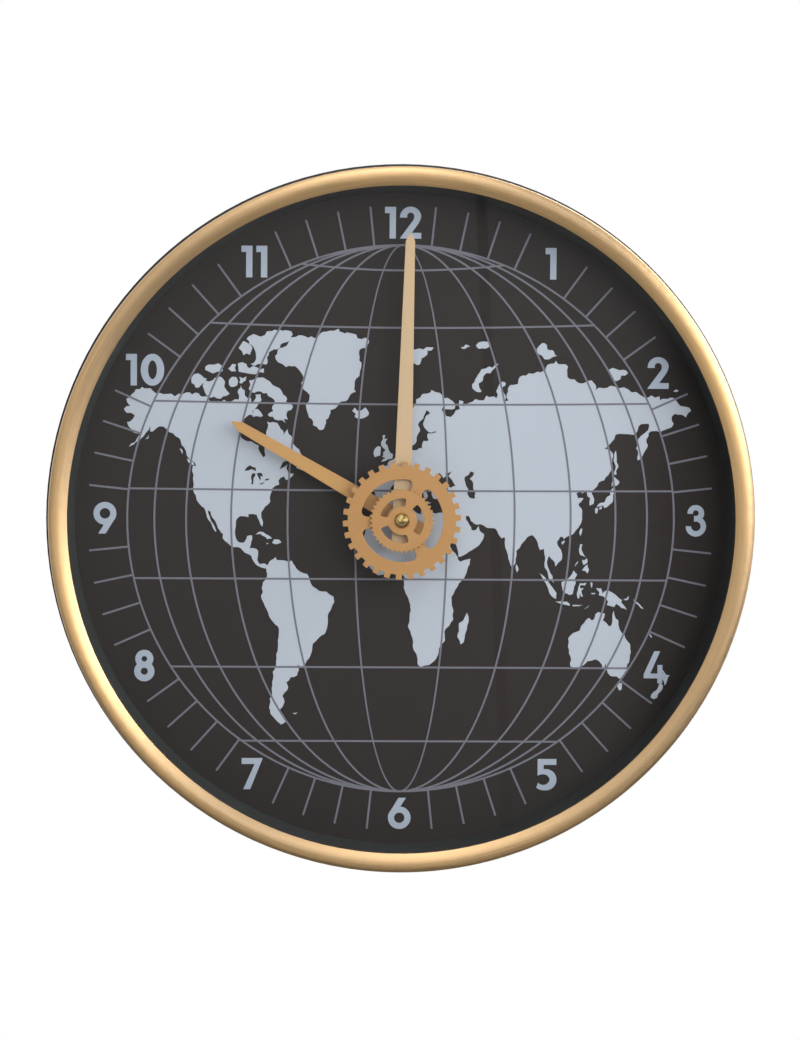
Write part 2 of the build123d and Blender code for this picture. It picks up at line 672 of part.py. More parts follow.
        (148, 59.4), (142.5, 59.2), (135.3, 54.7), (139.5, 54.1), (141.3, 52.5), (140.4, 48), (135.5, 44),
        (132, 43.2), (129.7, 41), (127.5, 39.5), (129.4, 36.8), (129, 35.2), (126.4, 34.4), (126.7, 37.5),
        (125, 38), (124.6, 39.7), (121.4, 39), (122, 40.6), (118, 39.1), (119, 37.3), (122.6, 37.3),
        (119.3, 35), (121.8, 31.5), (121.8, 29), (119.5, 25.5), (116.5, 23), (113.5, 22), (110.3, 20.6),
        (109.8, 21.5), (108, 21.6), (106, 19.5), (108.8, 15.5), (109.3, 12), (107, 10.5), (105, 8.7),
        (104.8, 10.2), (102.5, 12), (100.9, 13.4), (99.8, 11), (100.3, 8.5), (103.3, 4.5), (104.2, 1.4),
        (101.3, 2.8), (100.3, 6), (98.3, 8.2), (98.6, 12), (97.6, 16.4), (95.3, 15.8), (94.2, 17.5),
        (92.2, 21), (90.5, 22.2), (87, 21.3), (85, 19.5), (82.3, 16.7), (80.2, 15.5), (80.2, 13),
        (79.8, 10.3), (77.5, 8.1), (76.2, 10), (74.5, 14.5), (72.8, 19), (72.7, 21.3), (70.8, 20.8),
        (69, 22.3), (68.2, 23.7), (66.7, 25), (61.5, 25.2), (57.3, 26.8), (54, 26.6), (51.3, 28), (50, 30),
        (48, 30), (48.3, 28.5), (50.1, 26.6), (51.5, 25.5), (51.7, 24.2), (54, 24.1), (56.2, 26), (56.8, 24),
        (59.8, 22.5), (57.8, 19), (55, 17), (52, 15.6), (45, 12.8), (43.5, 12.8), (42.7, 16.5), (39, 21.5),
        (36.5, 26), (34.9, 29.4), (34.3, 28), (32.7, 29.8), (32.4, 31.3), (34.3, 31.4), (35.8, 35),
        (36, 36.8),
        (32.5, 36.1), (30.5, 36.7), (27.5, 36.8), (26.3, 38.3), (26.2, 40), (29, 40.9), (31.3, 41.2),
        (35, 42), (38.5, 41), (41.5, 41.6), (39, 44), (36.8, 45.3), (38.8, 47), (35, 46.2), (35.3, 45.2),
        (33.7, 44.5), (32.6, 45.5), (30.8, 46.4), (28.7, 44.5), (27.7, 42.5), (28.8, 41.3), (26.3, 40.7),
        (23.7, 40.3), (22.8, 39.5), (24, 37.8), (22.9, 36.5), (21.3, 37.6), (19.4, 41), (19.5, 42),
        (15.5, 43.8), (13.6, 45.4), (12.3, 45), (13.6, 43.5), (16, 41.9), (18.4, 40), (17, 40.4), (16.8, 39),
        (15.8, 38), (15.7, 40), (12.3, 41.7), (10.3, 43.8), (8.7, 44.4), (6.5, 43.2), (4, 43.5), (3.1, 42.3),
        (0.2, 40.5), (-0.2, 38.8), (-2, 36.8),
    ),
    "great britain": (
        (-5.7, 50.1), (-3.5, 50.3), (1.3, 51.2), (1.7, 52.7), (0.2, 53), (-1.8, 55.5), (-3, 56), (-1.8, 57.5),
        (-4, 57.6), (-3.1, 58.6), (-5, 58.6), (-5.8, 56.5), (-4.8, 54.8), (-3, 54), (-4.5, 53.2),
        (-4.3, 52.3), (-5.2, 51.8), (-3, 51.4), (-4.5, 51),
    ),
    "ireland": ((-6.2, 53.5), (-6, 55), (-8, 55.2), (-10, 54.2), (-9.8, 51.6), (-6.4, 52.2)),
    "iceland": (
        (-24.3, 65.5), (-22.5, 66.4), (-21, 65.5), (-16, 66.5), (-13.6, 65), (-18.8, 63.4), (-22.6, 63.9),
        (-22, 64.8),
    ),
    "svalbard": ((11, 79), (12, 79.8), (18, 80), (27, 80.2), (21, 78.3), (16.5, 76.6), (13.5, 78)),
    "franz josef land west": ((44, 80.3), (47, 80.8), (50, 80.4), (47, 80)),
    "franz josef land east": ((53.5, 80.6), (58, 81.4), (63, 81), (58, 80.1)),
    "novaya zemlya": (
        (51.5, 71.5), (53, 73), (56, 75), (60, 76), (68, 77), (66, 76.2), (58.5, 74.3), (55.5, 72.6),
        (57.5, 70.7), (53.5, 70.8),
    ),
    "severnaya zemlya": ((92, 80), (95.5, 81.2), (100, 79.8), (105, 78.7), (100, 78)),
    "new siberian islands": ((137.5, 75.8), (143, 76), (150, 75.2), (143, 73.4), (139.8, 73.8)),
    "wrangel island": ((178.7, 71), (180.5, 71.5), (182.3, 71.2), (181, 70.9)),
    "sakhalin": ((142.8, 54.3), (143.3, 52), (144.6, 49), (143, 47.5), (143.4, 46.2), (142, 46), (142.1, 50)),
    "hokkaido": ((140.3, 41.5), (140.5, 43.2), (141.7, 45.4), (145.3, 43.5), (143.2, 42), (141, 42.4)),
    "honshu": (
        (130.9, 34.2), (133, 35.5), (136, 35.8), (136.8, 37.3), (139.5, 38.5), (140, 40.5), (141.4, 41.4),
        (142, 39.5), (140.8, 35.7), (138.8, 34.7), (135.8, 33.5), (135, 34.6), (132.3, 34),
    ),
    "shikoku": ((132.4, 33.5), (134.4, 34.3), (134.2, 33.3), (133, 32.8)),
    "kyushu": ((129.8, 33), (131, 33.8), (131.9, 33.1), (131.3, 31.4), (130.2, 31.3)),
    "taiwan": ((120.1, 23), (121, 25.1), (122, 25), (120.9, 22)),
    "hainan": ((108.7, 19.2), (110.5, 20.1), (111, 19.6), (109.5, 18.2)),
    "luzon": (
        (120, 16.3), (120.7, 18.5), (122.2, 18.4), (121.6, 16), (124.1, 12.8), (121, 13.7), (120.3, 14.5),
    ),
    "visayas": ((122, 11.8), (123.4, 11.4), (125, 12.5), (125.6, 11), (125, 10.2), (123, 9.4), (122.4, 10.2)),
    "mindanao": ((122, 7), (123.6, 8.6), (125.4, 9.7), (126.5, 7.3), (125.5, 5.7), (124, 6.8)),
    "palawan": ((117.2, 8.4), (119.4, 11.2), (119.3, 10.3)),
    "borneo": (
        (109, 1.6), (111.3, 2.6), (113.5, 3.5), (116.8, 7), (119, 5.2), (117.5, 3.3), (118, 1), (116.3, -3.5),
        (114.5, -4), (110.2, -2.8),
    ),
    "sumatra": ((95.3, 5.6), (98, 4.3), (103.8, -1), (106, -3.2), (105.8, -5.8), (102.3, -4), (98.7, 1.7)),
    "java": ((105.2, -6.8), (108.5, -6.7), (112.7, -6.9), (114.5, -8), (114.4, -8.7), (108.5, -7.8)),
    "sulawesi": (
        (119.8, -0.5), (120.8, 1.3), (125, 1.6), (124, 0.3), (120.8, 0.4), (121, -1), (123.3, -0.9),
        (121.7, -2), (122.8, -4.5), (121.6, -4.7), (120.8, -3), (120.3, -5.5), (119.5, -5.4), (118.9, -3),
    ),
    "lesser sunda islands": ((116, -8.4), (119, -8.3), (122.9, -8.2), (120, -8.9), (116.5, -9)),
    "timor": ((123.6, -10.3), (127, -8.4), (125, -9.5)),
    "halmahera": ((127.5, 1.8), (128.7, 1.5), (128.2, -0.8), (127.7, 0.3)),
    "ceram": ((128, -3), (130.8, -3), (130, -3.6), (128.1, -3.5)),
    "new guinea": (
        (131, -0.8), (134.2, -0.9), (135, -3.2), (138, -1.7), (141, -2.6), (145.8, -5.3), (147.8, -6.2),
        (147, -7), (150.8, -10.4), (147.3, -9.6), (144, -7.7), (142.6, -9.2), (138, -8.3), (138.8, -6.8),
        (135.5, -4.4), (132.8, -4), (133.2, -2.6),
    ),
    "new britain": ((148.5, -5.6), (150.3, -5.5), (152, -4.2), (151.5, -5.8), (150, -6.3)),
    "solomon islands": ((154.8, -5.5), (156, -6.6), (161.5, -9.8), (160, -9.8), (155.5, -6.9)),
    "new caledonia": ((164.2, -20.2), (167, -22.2), (166.3, -22.4)),
    "sri lanka": ((79.8, 8), (80.2, 9.7), (81.8, 7.3), (80.6, 5.9)),
    "australia": (
        (142.5, -10.7), (143.8, -14.3), (145.4, -15), (146.3, -18.9), (149.5, -21.5), (150.8, -23.5),
        (153.2, -25.5), (153.6, -28.6), (151.2, -33.8), (150, -37.3), (146.4, -39.1), (144.5, -38.2),
        (140.6, -38), (138.5, -35.6), (137.9, -33), (136.8, -35.2), (135.6, -34.8), (134, -32.6),
        (131.2, -31.5), (126, -32.3), (123.5, -33.9), (118, -35), (115.1, -34.3), (115.7, -31.8),
        (113.5, -26.3), (113.7, -22.8), (116.8, -20.6), (121, -19.5), (122.2, -17.2), (125, -14.8),
        (126.8, -14), (128.3, -15), (129.6, -14.9), (130.8, -12.4), (132.6, -11.4), (136.8, -12.1),
        (135.5, -15), (139.5, -17.6), (140.9, -17.4), (141.6, -14),
    ),
    "tasmania": ((144.7, -40.8), (148.3, -40.9), (148, -43), (146.5, -43.6), (145.4, -42.3)),
    "new zealand north": (
        (172.7, -34.4), (174.8, -36.2), (175.9, -37.5), (178.5, -37.7), (177, -39.4), (175.3, -41.6),
        (174.9, -40), (173.8, -39.3), (174.8, -38), (174, -36.4),
    ),
    "new zealand south": (
        (172.7, -40.5), (174.3, -41.7), (172.8, -43.8), (170.7, -46), (168.4, -46.6), (166.5, -46),
        (168.3, -44), (171.2, -42.4),
    ),
    "sicily": ((12.4, 38), (15.5, 38.2), (15.1, 36.7)),
    "sardinia": ((8.2, 41), (9.7, 41.1), (9.6, 39.2), (8.5, 39)),
    "corsica": ((8.6, 42.4), (9.5, 42.9), (9.2, 41.4)),
    "crete": ((23.5, 35.5), (26.3, 35.2), (24.5, 34.9)),
    "cyprus": ((32.3, 35), (34.5, 35.6), (33.7, 34.7)),
}

# Inland seas and large lakes
WATER = {
    "caspian sea": (
        (47.2, 45), (51, 47), (53, 46.5), (51.3, 44.8), (50.3, 44.3), (52.7, 42.5), (52.8, 40.5),
        (54, 39), (53.8, 37), (50.3, 37.3), (49, 38.5), (49.5, 40.5), (47.5, 43),
    ),
    "lake superior": ((-92, 46.7), (-88.4, 48.7), (-85, 47.9), (-84.7, 46.6), (-87.5, 47.3)),
    "lake michigan": ((-87.8, 42), (-86.6, 41.8), (-86.3, 44), (-84.9, 45.8), (-87, 45.8), (-87.8, 44)),
    "lake huron": ((-84.3, 45.8), (-80.8, 45.8), (-80.3, 44.6), (-82, 45), (-82, 43.2), (-83.3, 44.6)),
    "lake erie": ((-83.3, 41.7), (-79, 42.8), (-80.5, 42)),
    "lake ontario": ((-79.7, 43.3), (-76.3, 44), (-77, 43.3)),
}


def map_place(longitude, latitude):
    """Place on the dial in shares of the globe's radius, on a tall Miller projection."""
    stretched = degrees(1.25 * log(tan(pi / 4 + 0.4 * radians(latitude))))
    return (
        map_zero_across + longitude / map_degrees_across,
        map_zero_rise + map_stretch * stretched / map_degrees_across,
    )


def broken_coast(start, end, roughness):
    """Places along a coast before its end. Each longer run bends to one side at its middle."""
    across, rise = end[0] - start[0], end[1] - start[1]
    run = hypot(across, rise)
    if run < coast_run:
        return [start]
    middle = ((start[0] + end[0]) / 2, (start[1] + end[1]) / 2)
    side = sin(coast_swing[0] * middle[0] + coast_swing[1] * middle[1])
    shift = roughness * side * min(run, coast_bay) / run
    bend = (middle[0] - shift * rise, middle[1] + shift * across)
    return broken_coast(start, bend, roughness) + broken_coast(bend, end, roughness)


def shore_outline(places):
    """Outline on the dial round a piece of land or water. Coasts are rougher towards the poles."""
    outline = []
    for here, there in zip(places, places[1:] + places[:1]):
        roughness = coast_roughness + (polar_roughness - coast_roughness) * (here[1] / 90) ** 2
        outline += broken_coast(map_place(*here), map_place(*there), roughness)
    return [(globe_radius * across, globe_radius * rise) for across, rise in outline]


# Print on the dial: the map lies on the plate, and the lines and numerals lie over the map
with BuildPart() as dial_map:
    with BuildSketch(front(dial_front)):
        for coast in LAND.values():
            Polygon(*shore_outline(coast), align=None)
        for shore in WATER.values():
            Polygon(*shore_outline(shore), align=None, mode=Mode.SUBTRACT)
        Circle(brass_washer_radius + bush_clearance, mode=Mode.SUBTRACT)
    extrude(amount=print_thickness)
save(dial_map, "dial_map")


def ellipse_line(half_width, half_height):
    """Closed elliptical line of the graticule's width."""
    with BuildSketch() as line:
        Ellipse(half_width + line_width / 2, half_height + line_width / 2)
        Ellipse(half_width - line_width / 2, half_height - line_width / 2, mode=Mode.SUBTRACT)
    return line.sketch


def parallel_line(rise, sag):
    """Line across the globe at a rise, bowed down by a sag in the middle."""
    reach = (globe_radius**2 - (rise + sag) ** 2) ** 0.5
    low, high = rise - line_width / 2, rise + line_width / 2
    with BuildSketch() as line:
        with BuildLine():
            if sag:
                ThreePointArc((-reach, low + sag), (0, low), (reach, low + sag))
                ThreePointArc((-reach, high + sag), (0, high), (reach, high + sag))
            else:
                Line((-reach, low), (reach, low))
                Line((-reach, high), (reach, high))
            Line((-reach, low + sag), (-reach, high + sag))
            Line((reach, low + sag), (reach, high + sag))
        make_face()
    return line.sketch


graticule_lines = [ellipse_line(globe_radius, globe_radius)]
graticule_lines += [ellipse_line(share * globe_radius, globe_radius) for share in meridian_half_widths]
for rise, sag in zip(parallel_rises, parallel_sags):
    graticule_lines.append(parallel_line(rise * globe_radius, sag * globe_radius))
with BuildPart() as dial_graticule:
    with BuildSketch(front(layer_two)):
        for line in graticule_lines:
            add(line)
    extrude(amount=print_thickness)
save(dial_graticule, "dial_graticule")

# Minute ticks, left out where the numerals stand
with BuildPart() as dial_ticks:
    with BuildSketch(front(layer_two)):
        tick_inner_radius = globe_radius + line_width / 2
        for minute in range(60):
            if minute % 5:
                with Locations(polar((tick_inner_radius + tick_outer_radius) / 2, 90 - 6 * minute)):
                    Rectangle(tick_outer_radius - tick_inner_radius, tick_width, rotation=90 - 6 * minute)
    extrude(amount=print_thickness)
save(dial_ticks, "dial_ticks")


# Bold upright digits, one unit tall from the base line
def digit_zero():
    with BuildSketch() as digit:
        with Locations((0.372, 0.5)):
            Ellipse(0.372, 0.506)
            Ellipse(0.14, 0.295, mode=Mode.SUBTRACT)
    return digit.sketch


def digit_one():
    with BuildSketch() as digit:
        Polygon((0.15, 0), (0.349, 0), (0.349, 1), (0, 1), (0, 0.8), (0.15, 0.8), align=None)
    return digit.sketch


def digit_two():
    with BuildSketch() as digit:
        with BuildLine():
            Polyline((0.56, 0.43), (0.384, 0.185), (0.685, 0.185), (0.685, 0), (0, 0), (0.4, 0.545))
            ThreePointArc((0.4, 0.545), (0.447, 0.62), (0.459, 0.705))
            ThreePointArc((0.459, 0.705), (0.35, 0.822), (0.24, 0.664))
            Line((0.24, 0.664), (0.007, 0.664))
            ThreePointArc((0.007, 0.664), (0.345, 1.012), (0.682, 0.72))
            ThreePointArc((0.682, 0.72), (0.645, 0.575), (0.56, 0.43))
        make_face()
    return digit.sketch


def digit_three():
    with BuildSketch() as digit:
        with Locations((0.327, 0.325)):
            Circle(0.325)
        with Locations((0.321, 0.742)):
            Circle(0.268)
        with Locations((0.327, 0.33)):
            Circle(0.153, mode=Mode.SUBTRACT)
        with Locations((0.321, 0.75)):
            Circle(0.092, mode=Mode.SUBTRACT)
        with Locations((0.13, 0.529)):
            Rectangle(0.27, 0.398, mode=Mode.SUBTRACT)
    return digit.sketch


def digit_four():
    with BuildSketch() as digit:
        Polygon(
            (0.33, 1.03), (0.52, 1.03), (0.208, 0.312), (0.437, 0.312), (0.437, 0.587), (0.596, 0.587),
            (0.596, 0.312), (0.712, 0.312), (0.712, 0.159), (0.596, 0.159), (0.596, 0), (0.437, 0),
            (0.437, 0.159), (0, 0.159), (0, 0.297), align=None,
        )
    return digit.sketch


def digit_five():
    with BuildSketch() as digit:
        with BuildLine():
            Polyline((0.037, 0.461), (0.037, 1), (0.637, 1), (0.637, 0.809), (0.231, 0.809), (0.231, 0.668))
            ThreePointArc((0.231, 0.668), (0.645, 0.335), (0.28, -0.01))
            ThreePointArc((0.28, -0.01), (0.13, 0.01), (0, 0.077))
            Line((0, 0.077), (0.055, 0.246))
            ThreePointArc((0.055, 0.246), (0.215, 0.165), (0.425, 0.335))
            ThreePointArc((0.425, 0.335), (0.35, 0.465), (0.237, 0.508))
            ThreePointArc((0.237, 0.508), (0.135, 0.5), (0.037, 0.461))
        make_face()
    return digit.sketch


def digit_six():
    with BuildSketch() as digit:
        Polygon((0.338, 1), (0.575, 1), (0.385, 0.7), (0.363, 0.357), (0.04, 0.51), align=None)
        with Locations((0.363, 0.357)):
            Circle(0.363)
            Circle(0.166, mode=Mode.SUBTRACT)
    return digit.sketch


def digit_seven():
    with BuildSketch() as digit:
        Polygon((0, 1), (0.673, 1), (0.275, 0), (0.055, 0), (0.413, 0.807), (0, 0.807), align=None)
    return digit.sketch


def digit_eight():
    bowls = ((0.323, 0.323, 0.112), (0.718, 0.288, 0.088))
    with BuildSketch() as digit:
        for rise, outer, inner in bowls:
            with Locations((0.323, rise)):
                Circle(outer)
        for rise, outer, inner in bowls:
            with Locations((0.323, rise)):
                Circle(inner, mode=Mode.SUBTRACT)
    return digit.sketch


def digit_nine():
    """A six turned upside down."""
    return Pos(0.726, 1) * (Rot(0, 0, 180) * digit_six())


DIGITS = {
    "0": digit_zero(), "1": digit_one(), "2": digit_two(), "3": digit_three(), "4": digit_four(),
    "5": digit_five(), "6": digit_six(), "7": digit_seven(), "8": digit_eight(), "9": digit_nine(),
}


def numeral_faces(hour):
    """Digits of one hour numeral, upright and centred on its place on the numeral ring."""
    digits = [DIGITS[letter] for letter in str(hour)]
    widths = [digit.bounding_box().max.X for digit in digits]
    across = -(sum(widths) + digit_gap * (len(digits) - 1)) / 2
    centre = polar(numeral_ring_radius, 90 - 30 * hour)
    faces = []
    for digit, width in zip(digits, widths):
        grown = scale(digit, by=numeral_height, about=(0, 0, 0))
        corner = (centre[0] + across * numeral_height, centre[1] - numeral_height / 2)
        faces.append(Pos(*corner) * grown)
        across += width + digit_gap
    return faces


hour_numerals = [face for hour in range(1, 13) for face in numeral_faces(hour)]
with BuildPart() as dial_numerals:
    with BuildSketch(front(layer_two)):
        for face in hour_numerals:
            add(face)
    extrude(amount=print_thickness)
save(dial_numerals, "dial_numerals")


def hand_outline(length, point_length, eye_width, tip_width, angle):
    """Corners of a tapered hand with a short point and a tail, turned clockwise from 12."""
    shoulder = length - point_length
    corners = [
        (-eye_width / 2, -hand_tail),
        (eye_width / 2, -hand_tail),
        (eye_width / 2, 0),
        (tip_width / 2, shoulder),
        (hand_point_width / 2, length),
        (-hand_point_width / 2, length),
        (-tip_width / 2, shoulder),
        (-eye_width / 2, 0),
    ]
    c, s = cos(radians(angle)), sin(radians(angle))
    return [(x * c + y * s, y * c - x * s) for x, y in corners]


# Hour hand on its collet, pressed on the hour pipe
with BuildPart() as hour_hand:
    with BuildSketch(front(hour_hand_height)):
        Polygon(
            *hand_outline(hour_length, hour_point_length, hour_eye_width, hour_tip_width, hour_angle),
            align=None,
        )
        Circle(collet_radius)
        Circle(hour_pipe_radius, mode=Mode.SUBTRACT)
    extrude(amount=hand_thickness)
save(hour_hand, "hour_hand")
hour_collet_low = hour_hand_height + hand_thickness
save(ring(hour_pipe_radius, collet_radius, hour_collet_low, hour_collet_low + collet_depth), "hour_collet")

# Minute hand on its collet, pressed on the minute pipe
with BuildPart() as minute_hand:
    with BuildSketch(front(minute_hand_height)):
        Polygon(
            *hand_outline(
                minute_length, minute_point_length, minute_eye_width, minute_tip_width, minute_angle
            ),
            align=None,
        )
        Circle(collet_radius)
        Circle(minute_pipe_radius, mode=Mode.SUBTRACT)
    extrude(amount=hand_thickness)
save(minute_hand, "minute_hand")
minute_collet_low = minute_hand_height + hand_thickness
save(
    ring(minute_pipe_radius, collet_radius, minute_collet_low, minute_collet_low + collet_depth),
    "minute_collet",
)


def ornament_outline(teeth, tip_radius, root_radius, tooth_angle):
    """Corners of a decorative gear with straight-sided teeth."""
    pitch = 360 / teeth
    corners = []
    for tooth in range(teeth):
        middle = tooth_angle + pitch * tooth
        corners += [
            polar(root_radius, middle - tooth_root_share * pitch / 2),
            polar(tip_radius, middle - tooth_tip_share * pitch / 2),
            polar(tip_radius, middle + tooth_tip_share * pitch / 2),
            polar(root_radius, middle + tooth_root_share * pitch / 2),
        ]
    return corners


def kidney_slots(inner, outer, span, corner):
    """Slots between the spokes, with rounded corners."""
    with BuildSketch() as slots:
        for spoke in range(spoke_count):
            start = spoke_angle + 360 * (spoke + 0.5) / spoke_count - span / 2
            with BuildLine():
                CenterArc((0, 0), inner, start, span)
                CenterArc((0, 0), outer, start, span)
                Line(polar(inner, start), polar(outer, start))
                Line(polar(inner, start + span), polar(outer, start + span))
            make_face()
        fillet(slots.vertices(), corner)
    return slots.sketch


large_slots = kidney_slots(
    large_slot_inner_radius, large_slot_outer_radius, large_slot_span, large_slot_corner
)
small_slots = kidney_slots(
    small_slot_inner_radius, small_slot_outer_radius, small_slot_span, small_slot_corner
)

# Two ornamental gears, a spacer between them, the brass hub that they sit on and a polished dome
with BuildPart() as large_gear:
    with BuildSketch(front(large_gear_height)) as outline:
        Polygon(
            *ornament_outline(
                large_gear_teeth, large_gear_tip_radius, large_gear_root_radius, large_gear_tooth_angle
            ),
            align=None,
        )
        tip_corners = outline.vertices().group_by(lambda corner: round(corner.X**2 + corner.Y**2, 2))[-1]
        fillet(tip_corners, tooth_round)
        add(large_slots, mode=Mode.SUBTRACT)
        add(small_slots, mode=Mode.SUBTRACT)
        Circle(gear_hub_radius, mode=Mode.SUBTRACT)
    extrude(amount=gear_thickness)
save(large_gear, "large_gear")

with BuildPart() as small_gear:
    with BuildSketch(front(small_gear_height)):
        Polygon(
            *ornament_outline(small_gear_teeth, small_gear_tip_radius, small_gear_root_radius, 0), align=None
        )
        add(small_slots, mode=Mode.SUBTRACT)
        Circle(gear_hub_radius, mode=Mode.SUBTRACT)
    extrude(amount=gear_thickness)
save(small_gear, "small_gear")

spacer_low = large_gear_height + gear_thickness
save(ring(gear_hub_radius, gear_spacer_radius, spacer_low, small_gear_height), "gear_spacer")
save(ring(seconds_arbor_radius, gear_hub_radius, large_gear_height - gear_hub_drop, dome_low), "gear_hub")
with BuildPart() as dome_cap:
    with BuildSketch(SECTION):
        with BuildLine():
            Line((0, dome_low), (dome_radius, dome_low))
            RadiusArc(
                (dome_radius, dome_low), (0, dome_low + dome_rise),
                -(dome_radius**2 + dome_rise**2) / (2 * dome_rise),
            )
            Line((0, dome_low + dome_rise), (0, dome_low))
        make_face()
    revolve(axis=Axis.Y)
    with BuildSketch(front(dome_low)):
        Circle(seconds_arbor_radius)
    extrude(amount=dome_rise / 2, mode=Mode.SUBTRACT)
save(dome_cap, "dome_cap")

# Places of the train's arbors
third_distance = pitch_radius(seconds_pinion_teeth + third_wheel_teeth, third_module)
centre_module = 2 * third_distance / (third_pinion_teeth + centre_wheel_teeth)
third_place = polar(third_distance, third_direction)
intermediate_distance = pitch_radius(seconds_wheel_teeth + intermediate_pinion_teeth, seconds_module)
intermediate_place = polar(intermediate_distance, intermediate_direction)
rotor_distance = pitch_radius(intermediate_wheel_teeth + rotor_pinion_teeth, rotor_module)
rotor_place = polar(rotor_distance, rotor_direction, intermediate_place)
motion_distance = pitch_radius(cannon_pinion_teeth + motion_wheel_teeth, cannon_module)
hour_module = 2 * motion_distance / (motion_pinion_teeth + hour_wheel_teeth)
motion_place = polar(motion_distance, motion_direction)
setting_distance = pitch_radius(motion_wheel_teeth + setting_pinion_teeth, cannon_module)
setting_place = polar(setting_distance, motion_direction, motion_place)
arbor_places = (third_place, intermediate_place, rotor_place, motion_place)

# Movement base: front plate, side walls and the partition beside the battery
stator_post_places = (
    (core_left + stator_post_radius, core_rise),
    (core_right - stator_post_radius, core_rise),
)
core_low = stator_low + stator_thickness
board_post_places = (
    (board_left + board_post_inset, board_low + board_post_inset),
    (board_right - board_post_inset, board_high - board_post_inset),
)
with BuildPart() as movement_base:
    with BuildSketch(front(cover_inner)):
        RectangleRounded(movement_width, movement_width, movement_corner)
    extrude(amount=movement_front - cover_inner)
    with BuildSketch(front(cover_inner)):
        with Locations((0, (partition_high + cavity_half) / 2)):
            Rectangle(2 * cavity_half, cavity_half - partition_high)
        with Locations((0, (partition_low - cavity_half) / 2)):
            Rectangle(2 * cavity_half, cavity_half + partition_low)
    extrude(amount=plate_inner - cover_inner, mode=Mode.SUBTRACT)
    with BuildSketch(front(plate_inner)):
        Circle(bush_radius + bush_clearance)
    extrude(amount=movement_shell, mode=Mode.SUBTRACT)
    with BuildSketch(front(plate_inner)):
        for place in arbor_places:
            with Locations(place):
                Circle(pivot_radius + running_clearance)
    extrude(amount=pivot_depth, mode=Mode.SUBTRACT)
    with BuildSketch(front(core_low + core_thickness)):
        for place in stator_post_places:
            with Locations(place):
                Circle(stator_post_radius)
    extrude(amount=plate_inner - core_low - core_thickness)
    with BuildSketch(front(board_rear + board_thickness)):
        for place in board_post_places:
            with Locations(place):
                Circle(board_post_radius)
    extrude(amount=plate_inner - board_rear - board_thickness)
save(movement_base, "movement_base")

# Movement cover over the train, with a hole for the setting arbor
with BuildPart() as movement_cover:
    with BuildSketch(front(movement_rear)):
        RectangleRounded(movement_width, movement_width, movement_corner)
        with Locations((0, partition_low - movement_width / 2)):
            Rectangle(movement_width, movement_width, mode=Mode.SUBTRACT)
        with Locations(setting_place):
            Circle(setting_arbor_radius + running_clearance, mode=Mode.SUBTRACT)
    extrude(amount=movement_shell)
    with BuildSketch(front(cover_inner - pivot_depth)):
        Circle(seconds_arbor_radius + running_clearance)
        for place in arbor_places:
            with Locations(place):
                Circle(pivot_radius + running_clearance)
    extrude(amount=pivot_depth, mode=Mode.SUBTRACT)
save(movement_cover, "movement_cover")

# Threaded bush that clamps the movement to the web, with its washers and nut
save(ring(hour_pipe_radius + running_clearance, bush_radius, plate_inner, bush_top), "threaded_bush")
nut_low = dial_front + brass_washer_thickness
save(ring(bush_radius + bush_clearance, brass_washer_radius, dial_front, nut_low), "brass_washer")
save(ring(bush_radius + bush_clearance, rubber_washer_radius, movement_front, web_rear), "rubber_washer")
with BuildPart() as bush_nut:
    with BuildSketch(front(nut_low)):
        RegularPolygon(nut_across_flats / 2, 6, major_radius=False)
        Circle(bush_radius + bush_clearance, mode=Mode.SUBTRACT)
    extrude(amount=nut_thickness)
save(bush_nut, "bush_nut")

# Seconds wheel, pinion and the long arbor that carries the ornamental gears
with BuildPart() as seconds_wheel:
    with BuildSketch(front(seconds_wheel_low)):
        Polygon(
            *wheel_outline(seconds_wheel_teeth, seconds_module, intermediate_direction, (0, 0)), align=None
        )
    extrude(amount=wheel_thickness)
    with BuildSketch(front(seconds_wheel_low)):
        Polygon(*wheel_outline(seconds_pinion_teeth, third_module, third_direction, (0, 0)), align=None)
    extrude(amount=seconds_pinion_high - seconds_wheel_low)
    with BuildSketch(front(cover_inner - pivot_depth + pivot_shake)):
        Circle(seconds_arbor_radius)
    extrude(amount=dome_low + dome_rise / 2 - cover_inner + pivot_depth - 2 * pivot_shake)
save(seconds_wheel, "seconds_wheel")

# Minute pipe with its cannon pinion and collar, the dished clutch spring and the centre wheel on it
with BuildPart() as minute_pipe:
    with BuildSketch(front(collar_low)):
        Circle(minute_pipe_radius)
    extrude(amount=minute_pipe_top - collar_low)
    with BuildSketch(front(collar_low)):
        Circle(collar_radius)
    extrude(amount=centre_wheel_low - pivot_shake - collar_low)
    with BuildSketch(front(cannon_pinion_low)):
        Polygon(
            *wheel_outline(
                cannon_pinion_teeth, cannon_module, gap_angle(cannon_pinion_teeth, motion_direction), (0, 0)
            ),
            align=None,
        )
    extrude(amount=cannon_pinion_high - cannon_pinion_low)
    with BuildSketch(front(collar_low)):
        Circle(seconds_arbor_radius + running_clearance)
    extrude(amount=minute_pipe_top - collar_low, mode=Mode.SUBTRACT)
save(minute_pipe, "minute_pipe")
clutch_rear = centre_wheel_low + wheel_thickness + running_clearance
clutch_spring = turned(
    [
        (minute_pipe_radius, cannon_pinion_low),
        (minute_pipe_radius, cannon_pinion_low - clutch_thickness),
        (clutch_radius, clutch_rear),
        (clutch_radius, clutch_rear + clutch_thickness),
    ]
)
save(clutch_spring, "clutch_spring")
with BuildPart() as centre_wheel:
    with BuildSketch(front(centre_wheel_low)):
        Polygon(*wheel_outline(centre_wheel_teeth, centre_module, third_direction, (0, 0)), align=None)
        Circle(minute_pipe_radius + running_clearance, mode=Mode.SUBTRACT)
    extrude(amount=wheel_thickness)
save(centre_wheel, "centre_wheel")

